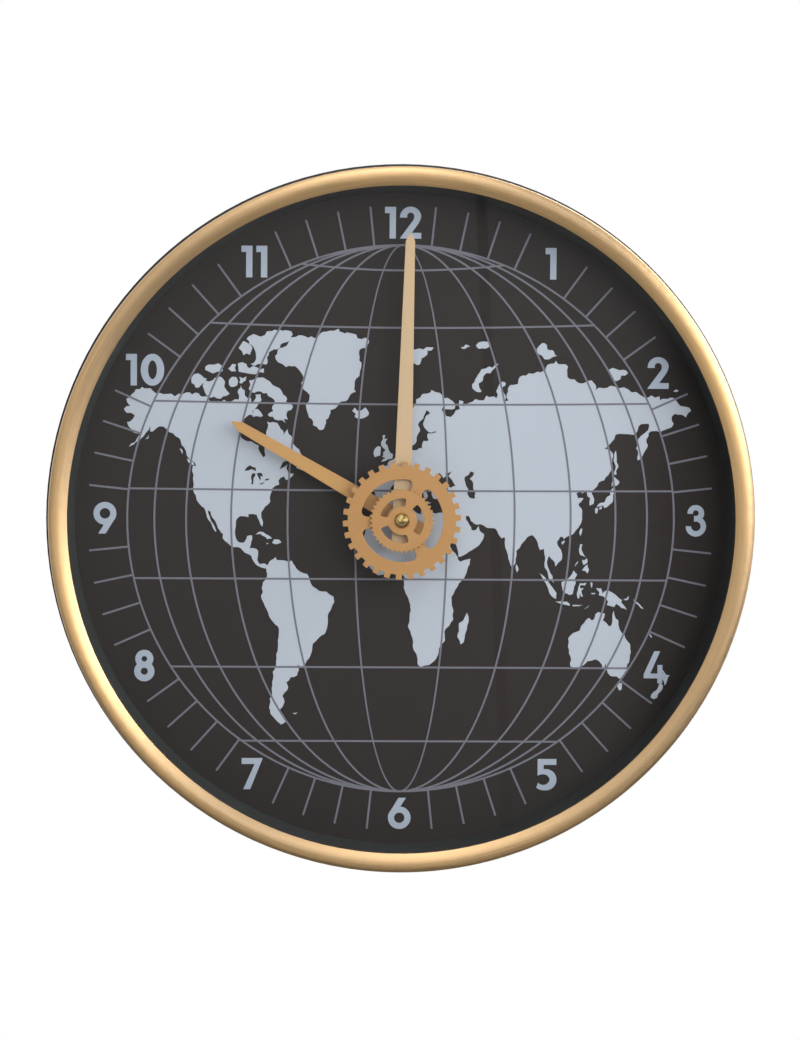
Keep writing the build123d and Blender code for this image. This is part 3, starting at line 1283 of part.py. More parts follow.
# Hour wheel and the pipe that carries the hour hand
with BuildPart() as hour_wheel:
    with BuildSketch(front(hour_wheel_low)):
        Polygon(*wheel_outline(hour_wheel_teeth, hour_module, motion_direction, (0, 0)), align=None)
    extrude(amount=wheel_thickness)
    with BuildSketch(front(hour_wheel_low)):
        Circle(hour_pipe_radius)
    extrude(amount=hour_pipe_top - hour_wheel_low)
    with BuildSketch(front(hour_wheel_low)):
        Circle(minute_pipe_radius + running_clearance)
    extrude(amount=hour_pipe_top - hour_wheel_low, mode=Mode.SUBTRACT)
save(hour_wheel, "hour_wheel")

# Third wheel, intermediate wheel and motion work
third_gap = third_direction + 180
third_wheel = train_arbor(
    third_place,
    (
        (third_wheel_teeth, third_module, gap_angle(third_wheel_teeth, third_gap),
         third_wheel_low, third_wheel_low + wheel_thickness),
        (third_pinion_teeth, centre_module, gap_angle(third_pinion_teeth, third_gap),
         third_pinion_low, third_pinion_high),
    ),
)
save(third_wheel, "third_wheel")
intermediate_wheel = train_arbor(
    intermediate_place,
    (
        (intermediate_wheel_teeth, rotor_module, rotor_direction,
         intermediate_wheel_low, intermediate_wheel_low + wheel_thickness),
        (intermediate_pinion_teeth, seconds_module,
         gap_angle(intermediate_pinion_teeth, intermediate_direction + 180),
         intermediate_pinion_low, intermediate_pinion_high),
    ),
)
save(intermediate_wheel, "intermediate_wheel")
motion_wheel = train_arbor(
    motion_place,
    (
        (motion_wheel_teeth, cannon_module, motion_direction + 180,
         motion_wheel_low, motion_wheel_low + wheel_thickness),
        (motion_pinion_teeth, hour_module, gap_angle(motion_pinion_teeth, motion_direction + 180),
         motion_wheel_low, motion_pinion_high),
    ),
)
save(motion_wheel, "motion_wheel")

# Rotor: a pinion on an arbor, and the ring magnet around it
rotor_pinion = train_arbor(
    rotor_place,
    (
        (rotor_pinion_teeth, rotor_module, gap_angle(rotor_pinion_teeth, rotor_direction + 180),
         rotor_pinion_low, rotor_pinion_high),
    ),
)
save(rotor_pinion, "rotor_pinion")
with BuildPart() as rotor_magnet:
    with BuildSketch(front(magnet_low)):
        with Locations(rotor_place):
            Circle(magnet_radius)
            Circle(arbor_radius, mode=Mode.SUBTRACT)
    extrude(amount=magnet_high - magnet_low)
save(rotor_magnet, "rotor_magnet")

# Stator round the rotor, coil core on its ends, bobbin and winding
with BuildPart() as stator:
    with BuildSketch(front(stator_low)):
        leg_low = rotor_place[1]
        half_leg = stator_leg_width / 2
        for end_place in stator_post_places:
            knee = (end_place[0], leg_low + stator_ring_radius)
            with BuildLine():
                Polyline(rotor_place, knee, (end_place[0], core_rise))
            trace(line_width=stator_leg_width)
        with Locations(rotor_place):
            Circle(stator_ring_radius)
        for end_place in stator_post_places:
            with Locations(end_place):
                Circle(half_leg)
        with Locations(rotor_place):
            Circle(stator_bore_radius, mode=Mode.SUBTRACT)
    extrude(amount=stator_thickness)
save(stator, "stator")
with BuildPart() as coil_core:
    with BuildSketch(front(core_low)):
        with Locations(((core_left + core_right) / 2, core_rise)):
            Rectangle(core_right - core_left, core_width)
    extrude(amount=core_thickness)
save(coil_core, "coil_core")
coil_axis_height = core_low + core_thickness / 2


def coil_plane(across):
    """Plane square to the coil's axis."""
    return Plane(origin=(across, -coil_axis_height, core_rise), x_dir=(0, -1, 0), z_dir=(1, 0, 0))


bobbin_length = bobbin_right - bobbin_left
with BuildPart() as coil_bobbin:
    with BuildSketch(coil_plane(bobbin_left)):
        Circle(bobbin_tube_radius)
    extrude(amount=bobbin_length)
    for flange_left in (bobbin_left, bobbin_right - bobbin_flange):
        with BuildSketch(coil_plane(flange_left)):
            Circle(bobbin_radius)
        extrude(amount=bobbin_flange)
    with BuildSketch(coil_plane(bobbin_left)):
        Rectangle(core_thickness, core_width)
    extrude(amount=bobbin_length, mode=Mode.SUBTRACT)
save(coil_bobbin, "coil_bobbin")
with BuildPart() as coil_winding:
    with BuildSketch(coil_plane(bobbin_left + bobbin_flange)):
        Circle(winding_radius)
        Circle(bobbin_tube_radius, mode=Mode.SUBTRACT)
    extrude(amount=bobbin_length - 2 * bobbin_flange)
save(coil_winding, "coil_winding")

# Circuit board with its quartz crystal and clock chip
board_middle = ((board_left + board_right) / 2, (board_low + board_high) / 2)
with BuildPart() as circuit_board:
    with BuildSketch(front(board_rear)):
        with Locations(board_middle):
            Rectangle(board_right - board_left, board_high - board_low)
    extrude(amount=board_thickness)
save(circuit_board, "circuit_board")
with BuildPart() as quartz_crystal:
    crystal_place = (board_left + board_post_inset, crystal_radius - board_rear, board_middle[1])
    with BuildSketch(Plane(origin=crystal_place, x_dir=(0, -1, 0), z_dir=(1, 0, 0))):
        Circle(crystal_radius)
    extrude(amount=crystal_length)
save(quartz_crystal, "quartz_crystal")
with BuildPart() as clock_chip:
    with BuildSketch(front(board_rear - chip_rise)):
        with Locations((board_right - 2 * chip_radius, board_middle[1])):
            Circle(chip_radius)
    extrude(amount=chip_rise)
    fillet(clock_chip.edges().group_by(Axis.Y)[-1], chip_rise * 0.8)
save(clock_chip, "clock_chip")

# Battery on its side below the train, and the two leaf contacts at its ends
battery_start = (-battery_end, -battery_height, battery_rise)
battery_plane = Plane(origin=battery_start, x_dir=(0, -1, 0), z_dir=(1, 0, 0))
with BuildPart() as battery:
    with BuildSketch(battery_plane):
        Circle(battery_radius)
    extrude(amount=battery_length)
    with BuildSketch(battery_plane):
        Circle(battery_nub_radius)
    extrude(amount=battery_length + battery_nub_length)
save(battery, "battery")


def leaf_contact(wall, tip):
    """Bent spring leaf between a side wall and a battery end."""
    inward = 1 if tip > wall else -1
    low, high = battery_rise - contact_width / 2, battery_rise + contact_width / 2
    corners = [
        (wall, low), (wall, high), (wall + inward * contact_thickness, high), (tip, battery_rise),
        (wall + inward * contact_thickness, low),
    ]
    with BuildPart() as piece:
        with BuildSketch(front(battery_height - contact_depth / 2)):
            Polygon(*corners, align=None)
        extrude(amount=contact_depth)
    return piece


save(leaf_contact(-cavity_half, -battery_end - battery_clearance), "negative_contact")
save(leaf_contact(cavity_half, battery_end + battery_nub_length + battery_clearance), "positive_contact")

# Setting arbor with its pinion in the motion work, and the knob behind the cover
with BuildPart() as setting_arbor:
    with BuildSketch(front(movement_rear - knob_gap)):
        with Locations(setting_place):
            Circle(setting_arbor_radius)
    extrude(amount=plate_inner - pivot_shake - movement_rear + knob_gap)
    with BuildSketch(front(setting_pinion_low)):
        Polygon(
            *wheel_outline(
                setting_pinion_teeth, cannon_module,
                gap_angle(setting_pinion_teeth, motion_direction + 180), setting_place,
            ),
            align=None,
        )
    extrude(amount=setting_pinion_high - setting_pinion_low)
save(setting_arbor, "setting_arbor")
with BuildPart() as setting_knob:
    with BuildSketch(front(knob_rear)):
        with Locations(setting_place):
            Circle(knob_radius)
            with PolarLocations(knob_radius, knob_notch_count):
                Circle(knob_notch_radius, mode=Mode.SUBTRACT)
    extrude(amount=movement_rear - knob_gap - knob_rear)
save(setting_knob, "setting_knob")
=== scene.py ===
from math import cos, radians, sin

import bpy
from mathutils import Matrix, Quaternion, Vector


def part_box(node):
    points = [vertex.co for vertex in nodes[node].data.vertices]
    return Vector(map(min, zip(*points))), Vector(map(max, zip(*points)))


# Looks of a quartz wall clock with a world map dial, in metres.
# The dial faces -Y, +Z is up and the origin is where the hand axis meets the wall.

# Camera
photo_height = 1040
pixels_per_radian = 2977.8
sensor_size = 36.0
view_distance = 1.5
view_azimuth = -1.5
view_elevation = 2.7
view_roll = 0.38
view_target = (0.0, 0.0, -0.00135)

# Background and floor
ambient_strength = 0.39
white_strength = 1.0
floor_drop = 0.9
floor_size = 12.0
floor_roughness = 0.8

# Room behind the camera, as the glass mirrors it, with the soft edges of a dark stand at its right
room_distance = 1.9
room_width = 0.8
room_height = 0.94
room_centre = (0.05, -0.02)
room_foot = -0.46
room_head = 0.28
room_strength_low = 0.1
room_strength_high = 0.2
stand_left_edge = (0.27, 0.37)
stand_top_edge = (0.17, 0.07)
stand_low_edge = (-0.41, -0.31)
stand_share = 0.08

# Colours on screen, 0 to 255
black_plastic_colour = (26, 24, 23)
movement_colour = (54, 54, 57)
bezel_colour = (208, 168, 110)
dial_colour = (46, 41, 40)
spacer_colour = (48, 50, 50)
map_colour = (186, 193, 205)
numeral_colour = (172, 182, 198)
line_colour = (118, 117, 128)
gold_colour = (194, 144, 88)
hour_gold_colour = (205, 156, 96)
pale_gold_colour = (211, 181, 144)
# Lighter gold on the edges of gears and hands is a painted highlight
edge_highlight_colour = (240, 205, 150)
brass_colour = (238, 206, 138)
glass_colour = (250, 252, 251)
steel_colour = (196, 196, 200)
rubber_colour = (28, 28, 28)
wheel_colour = (226, 224, 214)
copper_colour = (198, 110, 66)
board_colour = (30, 92, 52)
trace_colour = (62, 132, 76)
chip_colour = (22, 22, 23)
magnet_colour = (74, 74, 80)
jacket_colour = (58, 60, 64)
band_colour = (190, 192, 196)
floor_colour = (232, 232, 232)

# Grain and gloss of plain surfaces, with scales in spots to the metre and reliefs in metres
noise_low = 0.3
noise_high = 0.7
gloss_spread = 0.05
grains_in_patch = 12
ink_roughness = 0.6
ink_scale = 2600.0
ink_relief = 0.000002
ink_gloss = 0.15
glass_ior = 1.5

# Brushed and lacquered bezel
bezel_roughness = 0.45
bezel_roughness_spread = 0.06
streaks_across = 2600.0
streaks_round = 5.0
streak_detail = 3.0
streak_dark = 0.94
streak_bright = 1.05
streak_relief = 0.00001
brush_strength = 0.75
brush_turn = 0.25
lacquer_roughness = 0.42
lacquer_ior = 1.8

# Painted gears and hands, with a painted highlight and glossier metal on their edges
edge_highlight_width = 0.0003
edge_samples = 6
edge_start = 0.9
edge_end = 0.7
paint_roughness = 0.5
paint_metallic = 0.25
paint_scale = 3200.0
paint_contrast = 0.03
paint_relief = 0.000003
edge_roughness = 0.28
edge_metallic = 0.9

# Coil, circuit board and cell
copper_roughness = 0.3
copper_stripes = 900.0
# Share of the copper's brightness in the grooves between turns, as painted shade
groove_shade = 0.6
copper_relief = 0.00005
board_roughness = 0.35
board_shade = 0.85
track_scale = 260.0
track_offset = 0.3
track_width = 0.04
jacket_roughness = 0.35
jacket_roughness_low = 0.28
jacket_roughness_high = 0.42
jacket_scale = 400.0
cell_foot = 0.0006
band_start = 0.78
band_end = 0.965

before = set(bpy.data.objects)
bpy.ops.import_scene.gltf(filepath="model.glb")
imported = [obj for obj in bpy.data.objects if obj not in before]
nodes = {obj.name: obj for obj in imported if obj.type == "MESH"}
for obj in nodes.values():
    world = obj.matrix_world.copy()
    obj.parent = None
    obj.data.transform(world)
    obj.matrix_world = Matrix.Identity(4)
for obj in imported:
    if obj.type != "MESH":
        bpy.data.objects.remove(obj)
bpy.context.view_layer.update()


def linear(colour):
    """Linear colour with full alpha from screen values."""
    shares = [value / 255 for value in colour]
    lit = [s / 12.92 if s <= 0.04045 else ((s + 0.055) / 1.055) ** 2.4 for s in shares]
    return (*lit, 1.0)


def darker(colour, share):
    """Screen colour at a share of its brightness."""
    return tuple(value * share for value in colour)


def add_node(tree, kind, **settings):
    """New shader node with its settings."""
    made = tree.nodes.new("ShaderNode" + kind)
    for name, value in settings.items():
        setattr(made, name, value)
    return made


def new_surface(name, colour, roughness, metallic=0.0):
    """New material, its node tree and its shader."""
    material = bpy.data.materials.new(name)
    material.use_nodes = True
    shader = material.node_tree.nodes["Principled BSDF"]
    shader.inputs["Base Color"].default_value = linear(colour)
    shader.inputs["Roughness"].default_value = roughness
    shader.inputs["Metallic"].default_value = metallic
    return material, material.node_tree, shader


def place_noise(tree, scale, detail=2.0):
    """Noise fixed to the piece, with about scale spots to the metre."""
    place = add_node(tree, "TexCoord")
    noise = add_node(tree, "TexNoise")
    noise.inputs["Scale"].default_value = scale
    noise.inputs["Detail"].default_value = detail
    tree.links.new(place.outputs["Object"], noise.inputs["Vector"])
    return noise.outputs["Fac"]


def map_range(tree, value, start, end, low=0.0, high=1.0, **settings):
    """Value that goes from low to high as another goes from start to end."""
    stretch = add_node(tree, "MapRange", **settings)
    stretch.inputs["From Min"].default_value = start
    stretch.inputs["From Max"].default_value = end
    stretch.inputs["To Min"].default_value = low
    stretch.inputs["To Max"].default_value = high
    tree.links.new(value, stretch.inputs["Value"])
    return stretch.outputs["Result"]


def spread(tree, factor, low, high):
    """Factor stretched from the middle of a noise to a range."""
    return map_range(tree, factor, noise_low, noise_high, low, high)


def colour_sockets(sockets):
    """Colour sockets of a mix node's inputs or outputs."""
    return [socket for socket in sockets if socket.type == "RGBA"]


def blend_colours(tree, factor, low, high):
    """Colour between two screen colours by a factor from 0 to 1."""
    mix = add_node(tree, "Mix", data_type="RGBA")
    first, second = colour_sockets(mix.inputs)
    first.default_value = linear(low)
    second.default_value = linear(high)
    tree.links.new(factor, mix.inputs["Factor"])
    return colour_sockets(mix.outputs)[0]


def vary_colour(tree, shader, factor, low, high):
    """Base colour between two screen colours by a noise."""
    blended = blend_colours(tree, spread(tree, factor, 0.0, 1.0), low, high)
    tree.links.new(blended, shader.inputs["Base Color"])


def vary_roughness(tree, shader, factor, low, high):
    """Roughness between two values by a noise."""
    tree.links.new(spread(tree, factor, low, high), shader.inputs["Roughness"])


def add_bump(tree, shader, factor, height):
    """Small relief of a height in metres, and its node."""
    bump = add_node(tree, "Bump")
    bump.inputs["Distance"].default_value = height
    tree.links.new(factor, bump.inputs["Height"])
    tree.links.new(bump.outputs["Normal"], shader.inputs["Normal"])
    return bump


def grained(name, colour, roughness, metallic=0.0, scale=1500.0, contrast=0.06, relief=0.00002):
    """Surface with a fine even grain in its colour and relief, and wider patches in its gloss."""
    material, tree, shader = new_surface(name, colour, roughness, metallic)
    grain = place_noise(tree, scale)
    vary_colour(tree, shader, grain, darker(colour, 1 - contrast), darker(colour, 1 + contrast))
    patches = place_noise(tree, scale / grains_in_patch)
    vary_roughness(tree, shader, patches, roughness - gloss_spread, roughness + gloss_spread)
    add_bump(tree, shader, grain, relief)
    return material


def printed(name, colour, contrast):
    """Matt ink on card, with a fine grain and a faint unevenness over some millimetres."""
    material = grained(name, colour, ink_roughness, scale=ink_scale, contrast=contrast, relief=ink_relief)
    material.node_tree.nodes["Principled BSDF"].inputs["Specular IOR Level"].default_value = ink_gloss
    return material


def brushed_gold():
    """Gold metal brushed round the hand axis, so its streaks are long round the ring and fine across it."""
    material, tree, shader = new_surface("brushed_gold", bezel_colour, bezel_roughness, 1.0)
    place = add_node(tree, "TexCoord")
    flat = add_node(tree, "VectorMath", operation="MULTIPLY")
    flat.inputs[1].default_value = (1, 0, 1)
    direction = add_node(tree, "VectorMath", operation="NORMALIZE")
    radius = add_node(tree, "VectorMath", operation="LENGTH")
    part = add_node(tree, "SeparateXYZ")
    height = add_node(tree, "SeparateXYZ")
    across = add_node(tree, "Math", operation="MULTIPLY")
    across.inputs[1].default_value = streaks_across
    along = add_node(tree, "Math", operation="MULTIPLY")
    along.inputs[1].default_value = streaks_across
    place_round = add_node(tree, "VectorMath", operation="SCALE")
    place_round.inputs["Scale"].default_value = streaks_round
    spot = add_node(tree, "CombineXYZ")
    streaks = add_node(tree, "TexNoise", noise_dimensions="4D")
    streaks.inputs["Scale"].default_value = 1.0
    streaks.inputs["Detail"].default_value = streak_detail
    tree.links.new(place.outputs["Object"], flat.inputs[0])
    tree.links.new(flat.outputs["Vector"], direction.inputs[0])
    tree.links.new(flat.outputs["Vector"], radius.inputs[0])
    tree.links.new(direction.outputs["Vector"], place_round.inputs[0])
    tree.links.new(place_round.outputs["Vector"], part.inputs[0])
    tree.links.new(place.outputs["Object"], height.inputs[0])
    tree.links.new(radius.outputs["Value"], across.inputs[0])
    tree.links.new(height.outputs["Y"], along.inputs[0])
    tree.links.new(part.outputs["X"], spot.inputs["X"])
    tree.links.new(part.outputs["Z"], spot.inputs["Y"])
    tree.links.new(across.outputs["Value"], spot.inputs["Z"])
    tree.links.new(spot.outputs["Vector"], streaks.inputs["Vector"])
    tree.links.new(along.outputs["Value"], streaks.inputs["W"])
    streak = streaks.outputs["Fac"]
    vary_colour(tree, shader, streak, darker(bezel_colour, streak_dark), darker(bezel_colour, streak_bright))
    smooth = bezel_roughness - bezel_roughness_spread
    rough = bezel_roughness + bezel_roughness_spread
    vary_roughness(tree, shader, streak, smooth, rough)
    add_bump(tree, shader, streak, streak_relief)
    tangent = add_node(tree, "Tangent", direction_type="RADIAL", axis="Y")
    tree.links.new(tangent.outputs["Tangent"], shader.inputs["Tangent"])
    shader.inputs["Anisotropic"].default_value = brush_strength
    shader.inputs["Anisotropic Rotation"].default_value = brush_turn
    shader.inputs["Coat Weight"].default_value = 1.0
    shader.inputs["Coat Roughness"].default_value = lacquer_roughness
    shader.inputs["Coat IOR"].default_value = lacquer_ior
    return material


def cut_gold(name, colour):
    """Matt gold paint on the faces, and on the edges glossier metal in a lighter colour, which is a painted
    highlight.
    """
    material, tree, shader = new_surface(name, colour, paint_roughness, paint_metallic)
    side = add_node(tree, "Bevel", samples=edge_samples)
    side.inputs["Radius"].default_value = edge_highlight_width
    part = add_node(tree, "SeparateXYZ")
    facing = add_node(tree, "Math", operation="ABSOLUTE")
    tree.links.new(side.outputs["Normal"], part.inputs[0])
    tree.links.new(part.outputs["Y"], facing.inputs[0])
    cut = map_range(tree, facing.outputs["Value"], edge_start, edge_end)
    grain = place_noise(tree, paint_scale)
    paint_dark = darker(colour, 1 - paint_contrast)
    paint_bright = darker(colour, 1 + paint_contrast)
    paint = blend_colours(tree, spread(tree, grain, 0.0, 1.0), paint_dark, paint_bright)
    # Edges take the lighter colour as a painted highlight, with lower roughness and more metal
    highlighted_edges = add_node(tree, "Mix", data_type="RGBA")
    paint_socket, edge_socket = colour_sockets(highlighted_edges.inputs)
    edge_socket.default_value = linear(edge_highlight_colour)
    tree.links.new(cut, highlighted_edges.inputs["Factor"])
    tree.links.new(paint, paint_socket)
    tree.links.new(colour_sockets(highlighted_edges.outputs)[0], shader.inputs["Base Color"])
    shine = map_range(tree, cut, 0.0, 1.0, paint_roughness, edge_roughness)
    tree.links.new(shine, shader.inputs["Roughness"])
    metal = map_range(tree, cut, 0.0, 1.0, paint_metallic, edge_metallic)
    tree.links.new(metal, shader.inputs["Metallic"])
    bump = add_bump(tree, shader, grain, paint_relief)
    tree.links.new(side.outputs["Normal"], bump.inputs["Normal"])
    return material


def clear_glass():
    """Flat clear glass."""
    material, _, shader = new_surface("clear_glass", glass_colour, 0.0)
    shader.inputs["Transmission Weight"].default_value = 1.0
    shader.inputs["IOR"].default_value = glass_ior
    return material


def wound_copper():
    """Enamelled wire in stripes along the coil, with painted shade in the grooves between the turns."""
    material, tree, shader = new_surface("wound_copper", copper_colour, copper_roughness, 1.0)
    turns = add_node(tree, "TexWave", bands_direction="X")
    turns.inputs["Scale"].default_value = copper_stripes
    place = add_node(tree, "TexCoord")
    tree.links.new(place.outputs["Object"], turns.inputs["Vector"])
    # Copper darkens in the grooves between turns, as painted shade
    vary_colour(tree, shader, turns.outputs["Fac"], darker(copper_colour, groove_shade), copper_colour)
    add_bump(tree, shader, turns.outputs["Fac"], copper_relief)
    return material


def printed_board():
    """Green lacquer over paler copper tracks."""
    material, tree, shader = new_surface("printed_board", board_colour, board_roughness)
    tracks = add_node(tree, "TexBrick", offset=track_offset)
    tracks.inputs["Scale"].default_value = track_scale
    tracks.inputs["Color1"].default_value = linear(board_colour)
    tracks.inputs["Color2"].default_value = linear(darker(board_colour, board_shade))
    tracks.inputs["Mortar"].default_value = linear(trace_colour)
    tracks.inputs["Mortar Size"].default_value = track_width
    place = add_node(tree, "TexCoord")
    turned = add_node(tree, "Mapping")
    turned.inputs["Rotation"].default_value = (radians(90), 0, 0)
    tree.links.new(place.outputs["Object"], turned.inputs["Vector"])
    tree.links.new(turned.outputs["Vector"], tracks.inputs["Vector"])
    tree.links.new(tracks.outputs["Color"], shader.inputs["Base Color"])
    return material


def battery_jacket():
    """Plain jacket with a pale band at one end, and bare metal at both ends."""
    low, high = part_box("battery")
    length = high.x - low.x
    material, tree, shader = new_surface("battery_jacket", jacket_colour, jacket_roughness)
    place = add_node(tree, "TexCoord")
    part = add_node(tree, "SeparateXYZ")
    tree.links.new(place.outputs["Object"], part.inputs[0])
    share = map_range(tree, part.outputs["X"], low.x, high.x)
    bands = add_node(tree, "ValToRGB")
    ramp = bands.color_ramp
    ramp.interpolation = "CONSTANT"
    starts = ((cell_foot / length, jacket_colour), (band_start, band_colour), (band_end, steel_colour))
    for position, colour in starts:
        ramp.elements.new(position).color = linear(colour)
    ramp.elements[0].color = linear(steel_colour)
    ramp.elements.remove(ramp.elements[-1])
    tree.links.new(share, bands.inputs["Fac"])
    tree.links.new(bands.outputs["Color"], shader.inputs["Base Color"])
    scuffs = place_noise(tree, jacket_scale)
    vary_roughness(tree, shader, scuffs, jacket_roughness_low, jacket_roughness_high)
    return material


black_plastic = grained("black_plastic", black_plastic_colour, roughness=0.42, scale=1400, relief=0.00003)
movement_plastic = grained("movement_plastic", movement_colour, roughness=0.45, scale=1800)
spacer_black = grained("spacer_black", spacer_colour, roughness=0.6, scale=1600)
gold = cut_gold("matt_gold", gold_colour)
hour_gold = cut_gold("matt_hour_gold", hour_gold_colour)
pale_gold = cut_gold("matt_pale_gold", pale_gold_colour)
dial_black = printed("dial_black", dial_colour, contrast=0.06)
map_silver = printed("map_silver", map_colour, contrast=0.02)
numeral_silver = printed("numeral_silver", numeral_colour, contrast=0.02)
line_grey = printed("line_grey", line_colour, contrast=0.03)
brass = grained(
    "polished_brass", brass_colour, roughness=0.14, metallic=1.0, scale=600, contrast=0.03, relief=0.000002
)
steel = grained("bright_steel", steel_colour, roughness=0.28, metallic=1.0, scale=900, contrast=0.05)
rubber = grained("soft_rubber", rubber_colour, roughness=0.75, scale=1500, contrast=0.1)
wheel_white = grained("wheel_white", wheel_colour, roughness=0.4, scale=900, contrast=0.02)
resin = grained("potting_resin", chip_colour, roughness=0.2, scale=700)
magnet = grained("sintered_magnet", magnet_colour, roughness=0.5, metallic=0.6, scale=3000, contrast=0.15)

FINISHES = {
    "rear_case": black_plastic,
    "bezel_ring": brushed_gold(),
    "bezel_screws": brass,
    "lens_glass": clear_glass(),
    "lens_seal": rubber,
    "spacer_ring": spacer_black,
    "hanger_plate": steel,
    "hanger_screws": steel,
    "dial_plate": dial_black,
    "dial_map": map_silver,
    "dial_graticule": line_grey,
    "dial_ticks": line_grey,
    "dial_numerals": numeral_silver,
    "hour_hand": hour_gold,
    "hour_collet": hour_gold,
    "minute_hand": pale_gold,
    "minute_collet": pale_gold,
    "large_gear": gold,
    "small_gear": gold,
    "gear_spacer": gold,
    "gear_hub": brass,
    "dome_cap": brass,
    "movement_base": movement_plastic,
    "movement_cover": movement_plastic,
    "threaded_bush": brass,
    "brass_washer": brass,
    "rubber_washer": rubber,
    "bush_nut": brass,
    "seconds_wheel": wheel_white,
    "minute_pipe": brass,
    "clutch_spring": steel,
    "centre_wheel": wheel_white,
    "hour_wheel": wheel_white,
    "third_wheel": wheel_white,
    "intermediate_wheel": wheel_white,
    "motion_wheel": wheel_white,
    "rotor_pinion": wheel_white,
    "rotor_magnet": magnet,
    "stator": steel,
    "coil_core": steel,
    "coil_bobbin": wheel_white,
    "coil_winding": wound_copper(),
    "circuit_board": printed_board(),
    "quartz_crystal": steel,
    "clock_chip": resin,
    "battery": battery_jacket(),
    "negative_contact": steel,
    "positive_contact": steel,
    "setting_arbor": movement_plastic,
    "setting_knob": movement_plastic,
}
for name, finish in FINISHES.items():
    nodes[name].data.materials.clear()
    nodes[name].data.materials.append(finish)

# The glass lets the lamps through to the dial, and doesn't mirror them
nodes["lens_glass"].visible_shadow = False
nodes["lens_glass"].visible_diffuse = False
passed_by = bpy.data.collections.new("passed_by")
passed_by.objects.link(nodes["lens_glass"])
passed_by.collection_objects[0].light_linking.link_state = "EXCLUDE"


def seen_directly(tree):
    """Factor that is one for rays from the camera, and from gloss and glass."""
    rays = add_node(tree, "LightPath")
    either = add_node(tree, "Math", operation="MAXIMUM")
    all_three = add_node(tree, "Math", operation="MAXIMUM")
    tree.links.new(rays.outputs["Is Camera Ray"], either.inputs[0])
    tree.links.new(rays.outputs["Is Glossy Ray"], either.inputs[1])
    tree.links.new(either.outputs["Value"], all_three.inputs[0])
    tree.links.new(rays.outputs["Is Transmission Ray"], all_three.inputs[1])
    return all_three.outputs["Value"]


def white_world():
    """Even soft light, and a white background."""
    world = bpy.data.worlds.new("studio")
    world.use_nodes = True
    tree = world.node_tree
    tree.nodes.clear()
    soft = add_node(tree, "Background")
    soft.inputs["Strength"].default_value = ambient_strength
    white = add_node(tree, "Background")
    white.inputs["Strength"].default_value = white_strength
    for light in (soft, white):
        light.inputs["Color"].default_value = (1, 1, 1, 1)
    mix = add_node(tree, "MixShader")
    output = add_node(tree, "OutputWorld")
    tree.links.new(seen_directly(tree), mix.inputs["Fac"])
    tree.links.new(soft.outputs["Background"], mix.inputs[1])
    tree.links.new(white.outputs["Background"], mix.inputs[2])
    tree.links.new(mix.outputs["Shader"], output.inputs["Surface"])
    bpy.context.scene.world = world


def pale_floor():
    """Plain floor well below the clock, as white as the background."""
    bpy.ops.mesh.primitive_plane_add(size=floor_size, location=(0, 0, -floor_drop))
    floor = bpy.context.object
    floor.name = "floor"
    material, tree, shader = new_surface("floor", floor_colour, floor_roughness)
    white = add_node(tree, "Emission")
    white.inputs["Strength"].default_value = white_strength
    mix = add_node(tree, "MixShader")
    tree.links.new(seen_directly(tree), mix.inputs["Fac"])
    tree.links.new(shader.outputs["BSDF"], mix.inputs[1])
    tree.links.new(white.outputs["Emission"], mix.inputs[2])
    tree.links.new(mix.outputs["Shader"], tree.nodes["Material Output"].inputs["Surface"])
    floor.data.materials.append(material)


def aim(thing, place, turn=0.0):
    """Puts a lamp or card at a place, facing the dial, and turns it in its own plane."""
    thing.location = place
    thing.rotation_mode = "QUATERNION"
    facing = (-Vector(place)).to_track_quat("-Z", "Y")
    thing.rotation_quaternion = facing @ Quaternion((0, 0, 1), radians(turn))


def softbox(name, place, width, height, power, turn=0.0):
    """Soft rectangular lamp."""
    lamp = bpy.data.lights.new(name, "AREA")
    lamp.shape = "RECTANGLE"
    lamp.size = width
    lamp.size_y = height
    lamp.energy = power
    thing = bpy.data.objects.new(name, lamp)
    bpy.context.scene.collection.objects.link(thing)
    thing.light_linking.receiver_collection = passed_by
    aim(thing, place, turn)


def card(name, place, width, height, turn=0.0):
    """Plain card of the studio that only gloss and glass show, and its material's node tree and light."""
    bpy.ops.mesh.primitive_plane_add(size=1)
    thing = bpy.context.object
    thing.name = name
    thing.scale = (width, height, 1)
    aim(thing, place, turn)
    material = bpy.data.materials.new(name)
    material.use_nodes = True
    tree = material.node_tree
    tree.nodes.clear()
    grey = add_node(tree, "Emission")
    output = add_node(tree, "OutputMaterial")
    tree.links.new(grey.outputs["Emission"], output.inputs["Surface"])
    thing.data.materials.append(material)
    thing.visible_camera = False
    thing.visible_diffuse = False
    thing.visible_shadow = False
    return tree, grey


def flag(name, place, width, height, strength, turn=0.0):
    """Card of one even grey."""
    _, grey = card(name, place, width, height, turn)
    grey.inputs["Strength"].default_value = strength


def smooth_step(tree, value, edge):
    """Factor that goes softly from 0 at the start of an edge to 1 at its end."""
    start, end = edge
    return map_range(tree, value, start, end, interpolation_type="SMOOTHSTEP")


def product(tree, first, second):
    """Product of two factors."""
    times = add_node(tree, "Math", operation="MULTIPLY")
    tree.links.new(first, times.inputs[0])
    tree.links.new(second, times.inputs[1])
    return times.outputs["Value"]


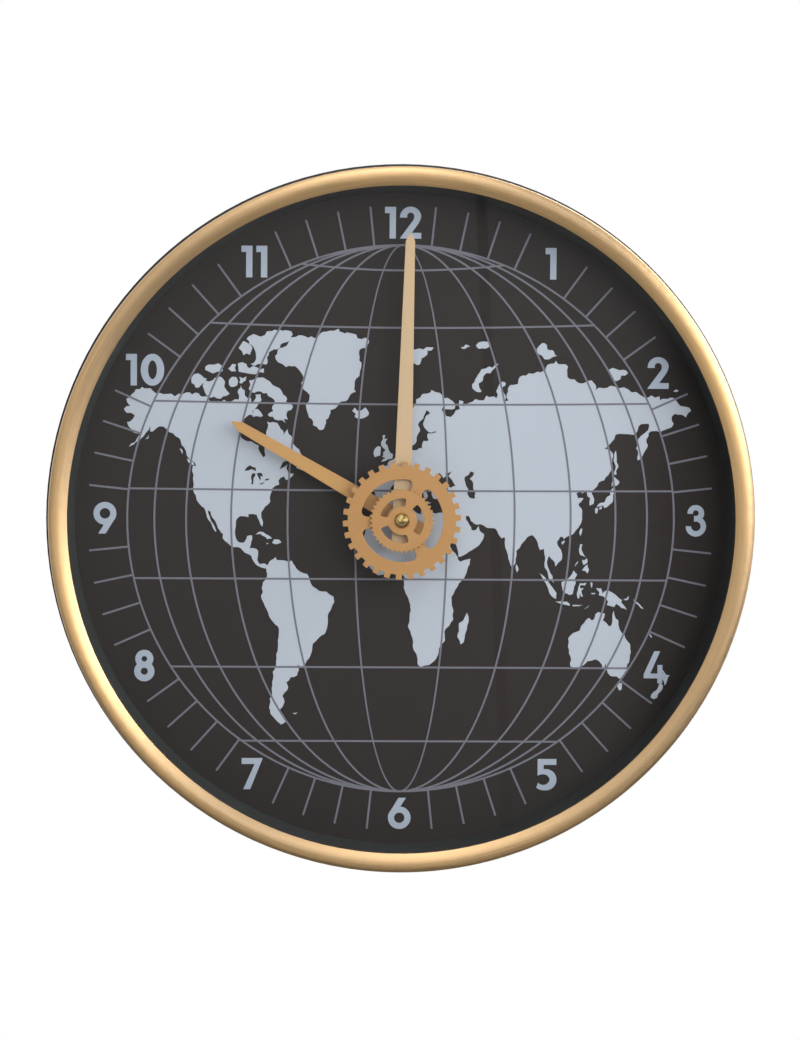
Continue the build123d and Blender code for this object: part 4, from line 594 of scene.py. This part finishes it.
def dim_room():
    """The room behind the camera as the glass shows it: paler above, with the dark shape of a stand."""
    place = (room_centre[0], -room_distance, room_centre[1])
    tree, grey = card("room", place, room_width, room_height)
    spot = add_node(tree, "NewGeometry")
    part = add_node(tree, "SeparateXYZ")
    tree.links.new(spot.outputs["Position"], part.inputs[0])
    across, rise = part.outputs["X"], part.outputs["Z"]
    level = map_range(tree, rise, room_foot, room_head, room_strength_low, room_strength_high)
    beside = smooth_step(tree, across, stand_left_edge)
    below = smooth_step(tree, rise, stand_top_edge)
    above = smooth_step(tree, rise, stand_low_edge)
    stand = product(tree, beside, product(tree, below, above))
    clear = map_range(tree, stand, 0.0, 1.0, 1.0, stand_share)
    tree.links.new(product(tree, level, clear), grey.inputs["Strength"])


def photo_camera():
    """Camera at the photograph's place, a little to the left of the hand axis and above it."""
    lens = bpy.data.cameras.new("camera")
    lens.sensor_width = sensor_size
    lens.lens = pixels_per_radian * sensor_size / photo_height
    camera = bpy.data.objects.new("camera", lens)
    bpy.context.scene.collection.objects.link(camera)
    azimuth, elevation = radians(view_azimuth), radians(view_elevation)
    back = Vector((sin(azimuth) * cos(elevation), -cos(azimuth) * cos(elevation), sin(elevation)))
    turn = (-back).to_track_quat("-Z", "Y").to_matrix() @ Matrix.Rotation(radians(view_roll), 3, "Z")
    camera.matrix_world = Matrix.Translation(Vector(view_target) + view_distance * back) @ turn.to_4x4()
    bpy.context.scene.camera = camera


white_world()
pale_floor()

# Lamps, with their power in watts
softbox("key", place=(0.97, -1.11, 0.29), width=1.3, height=0.55, power=12.5, turn=17.0)
softbox("side", place=(1.16, -0.22, 0.54), width=0.8, height=0.5, power=7.0, turn=25.0)
softbox("top", place=(0.0, -0.85, 0.85), width=0.45, height=1.3, power=5.0)
softbox("back", place=(0.8, 1.2, 0.9), width=1.0, height=1.0, power=14.0)

# Cards that the glass and the bezel mirror
dim_room()
flag("window_bar", place=(0.151, -1.88, -0.067), width=0.012, height=1.0, strength=0.08, turn=2.9)
flag("low_card", place=(0.0, 0.05, -0.7), width=3.0, height=1.6, strength=0.15)
flag("low_front_card", place=(0.0, -1.15, -0.72), width=3.0, height=0.6, strength=0.1)
flag("low_wall_card", place=(0.0, -1.95, -0.95), width=3.0, height=0.9, strength=0.1)
flag("left_card", place=(-1.3, -0.5, -0.3), width=2.2, height=1.2, strength=0.4)
flag("high_left_card", place=(-1.1, -0.5, 0.75), width=1.4, height=1.0, strength=0.6)
flag("high_right_card", place=(0.6, -0.7, 1.0), width=0.7, height=1.2, strength=0.3)
flag("right_card", place=(1.4, -0.5, -0.6), width=2.2, height=0.9, strength=0.25)
flag("right_front_card", place=(0.78, -1.75, -0.43), width=0.7, height=0.6, strength=0.2)
flag("high_front_card", place=(0.47, -1.6, 0.82), width=0.6, height=0.6, strength=0.25)

photo_camera()
bpy.context.scene.view_settings.view_transform = "Standard"
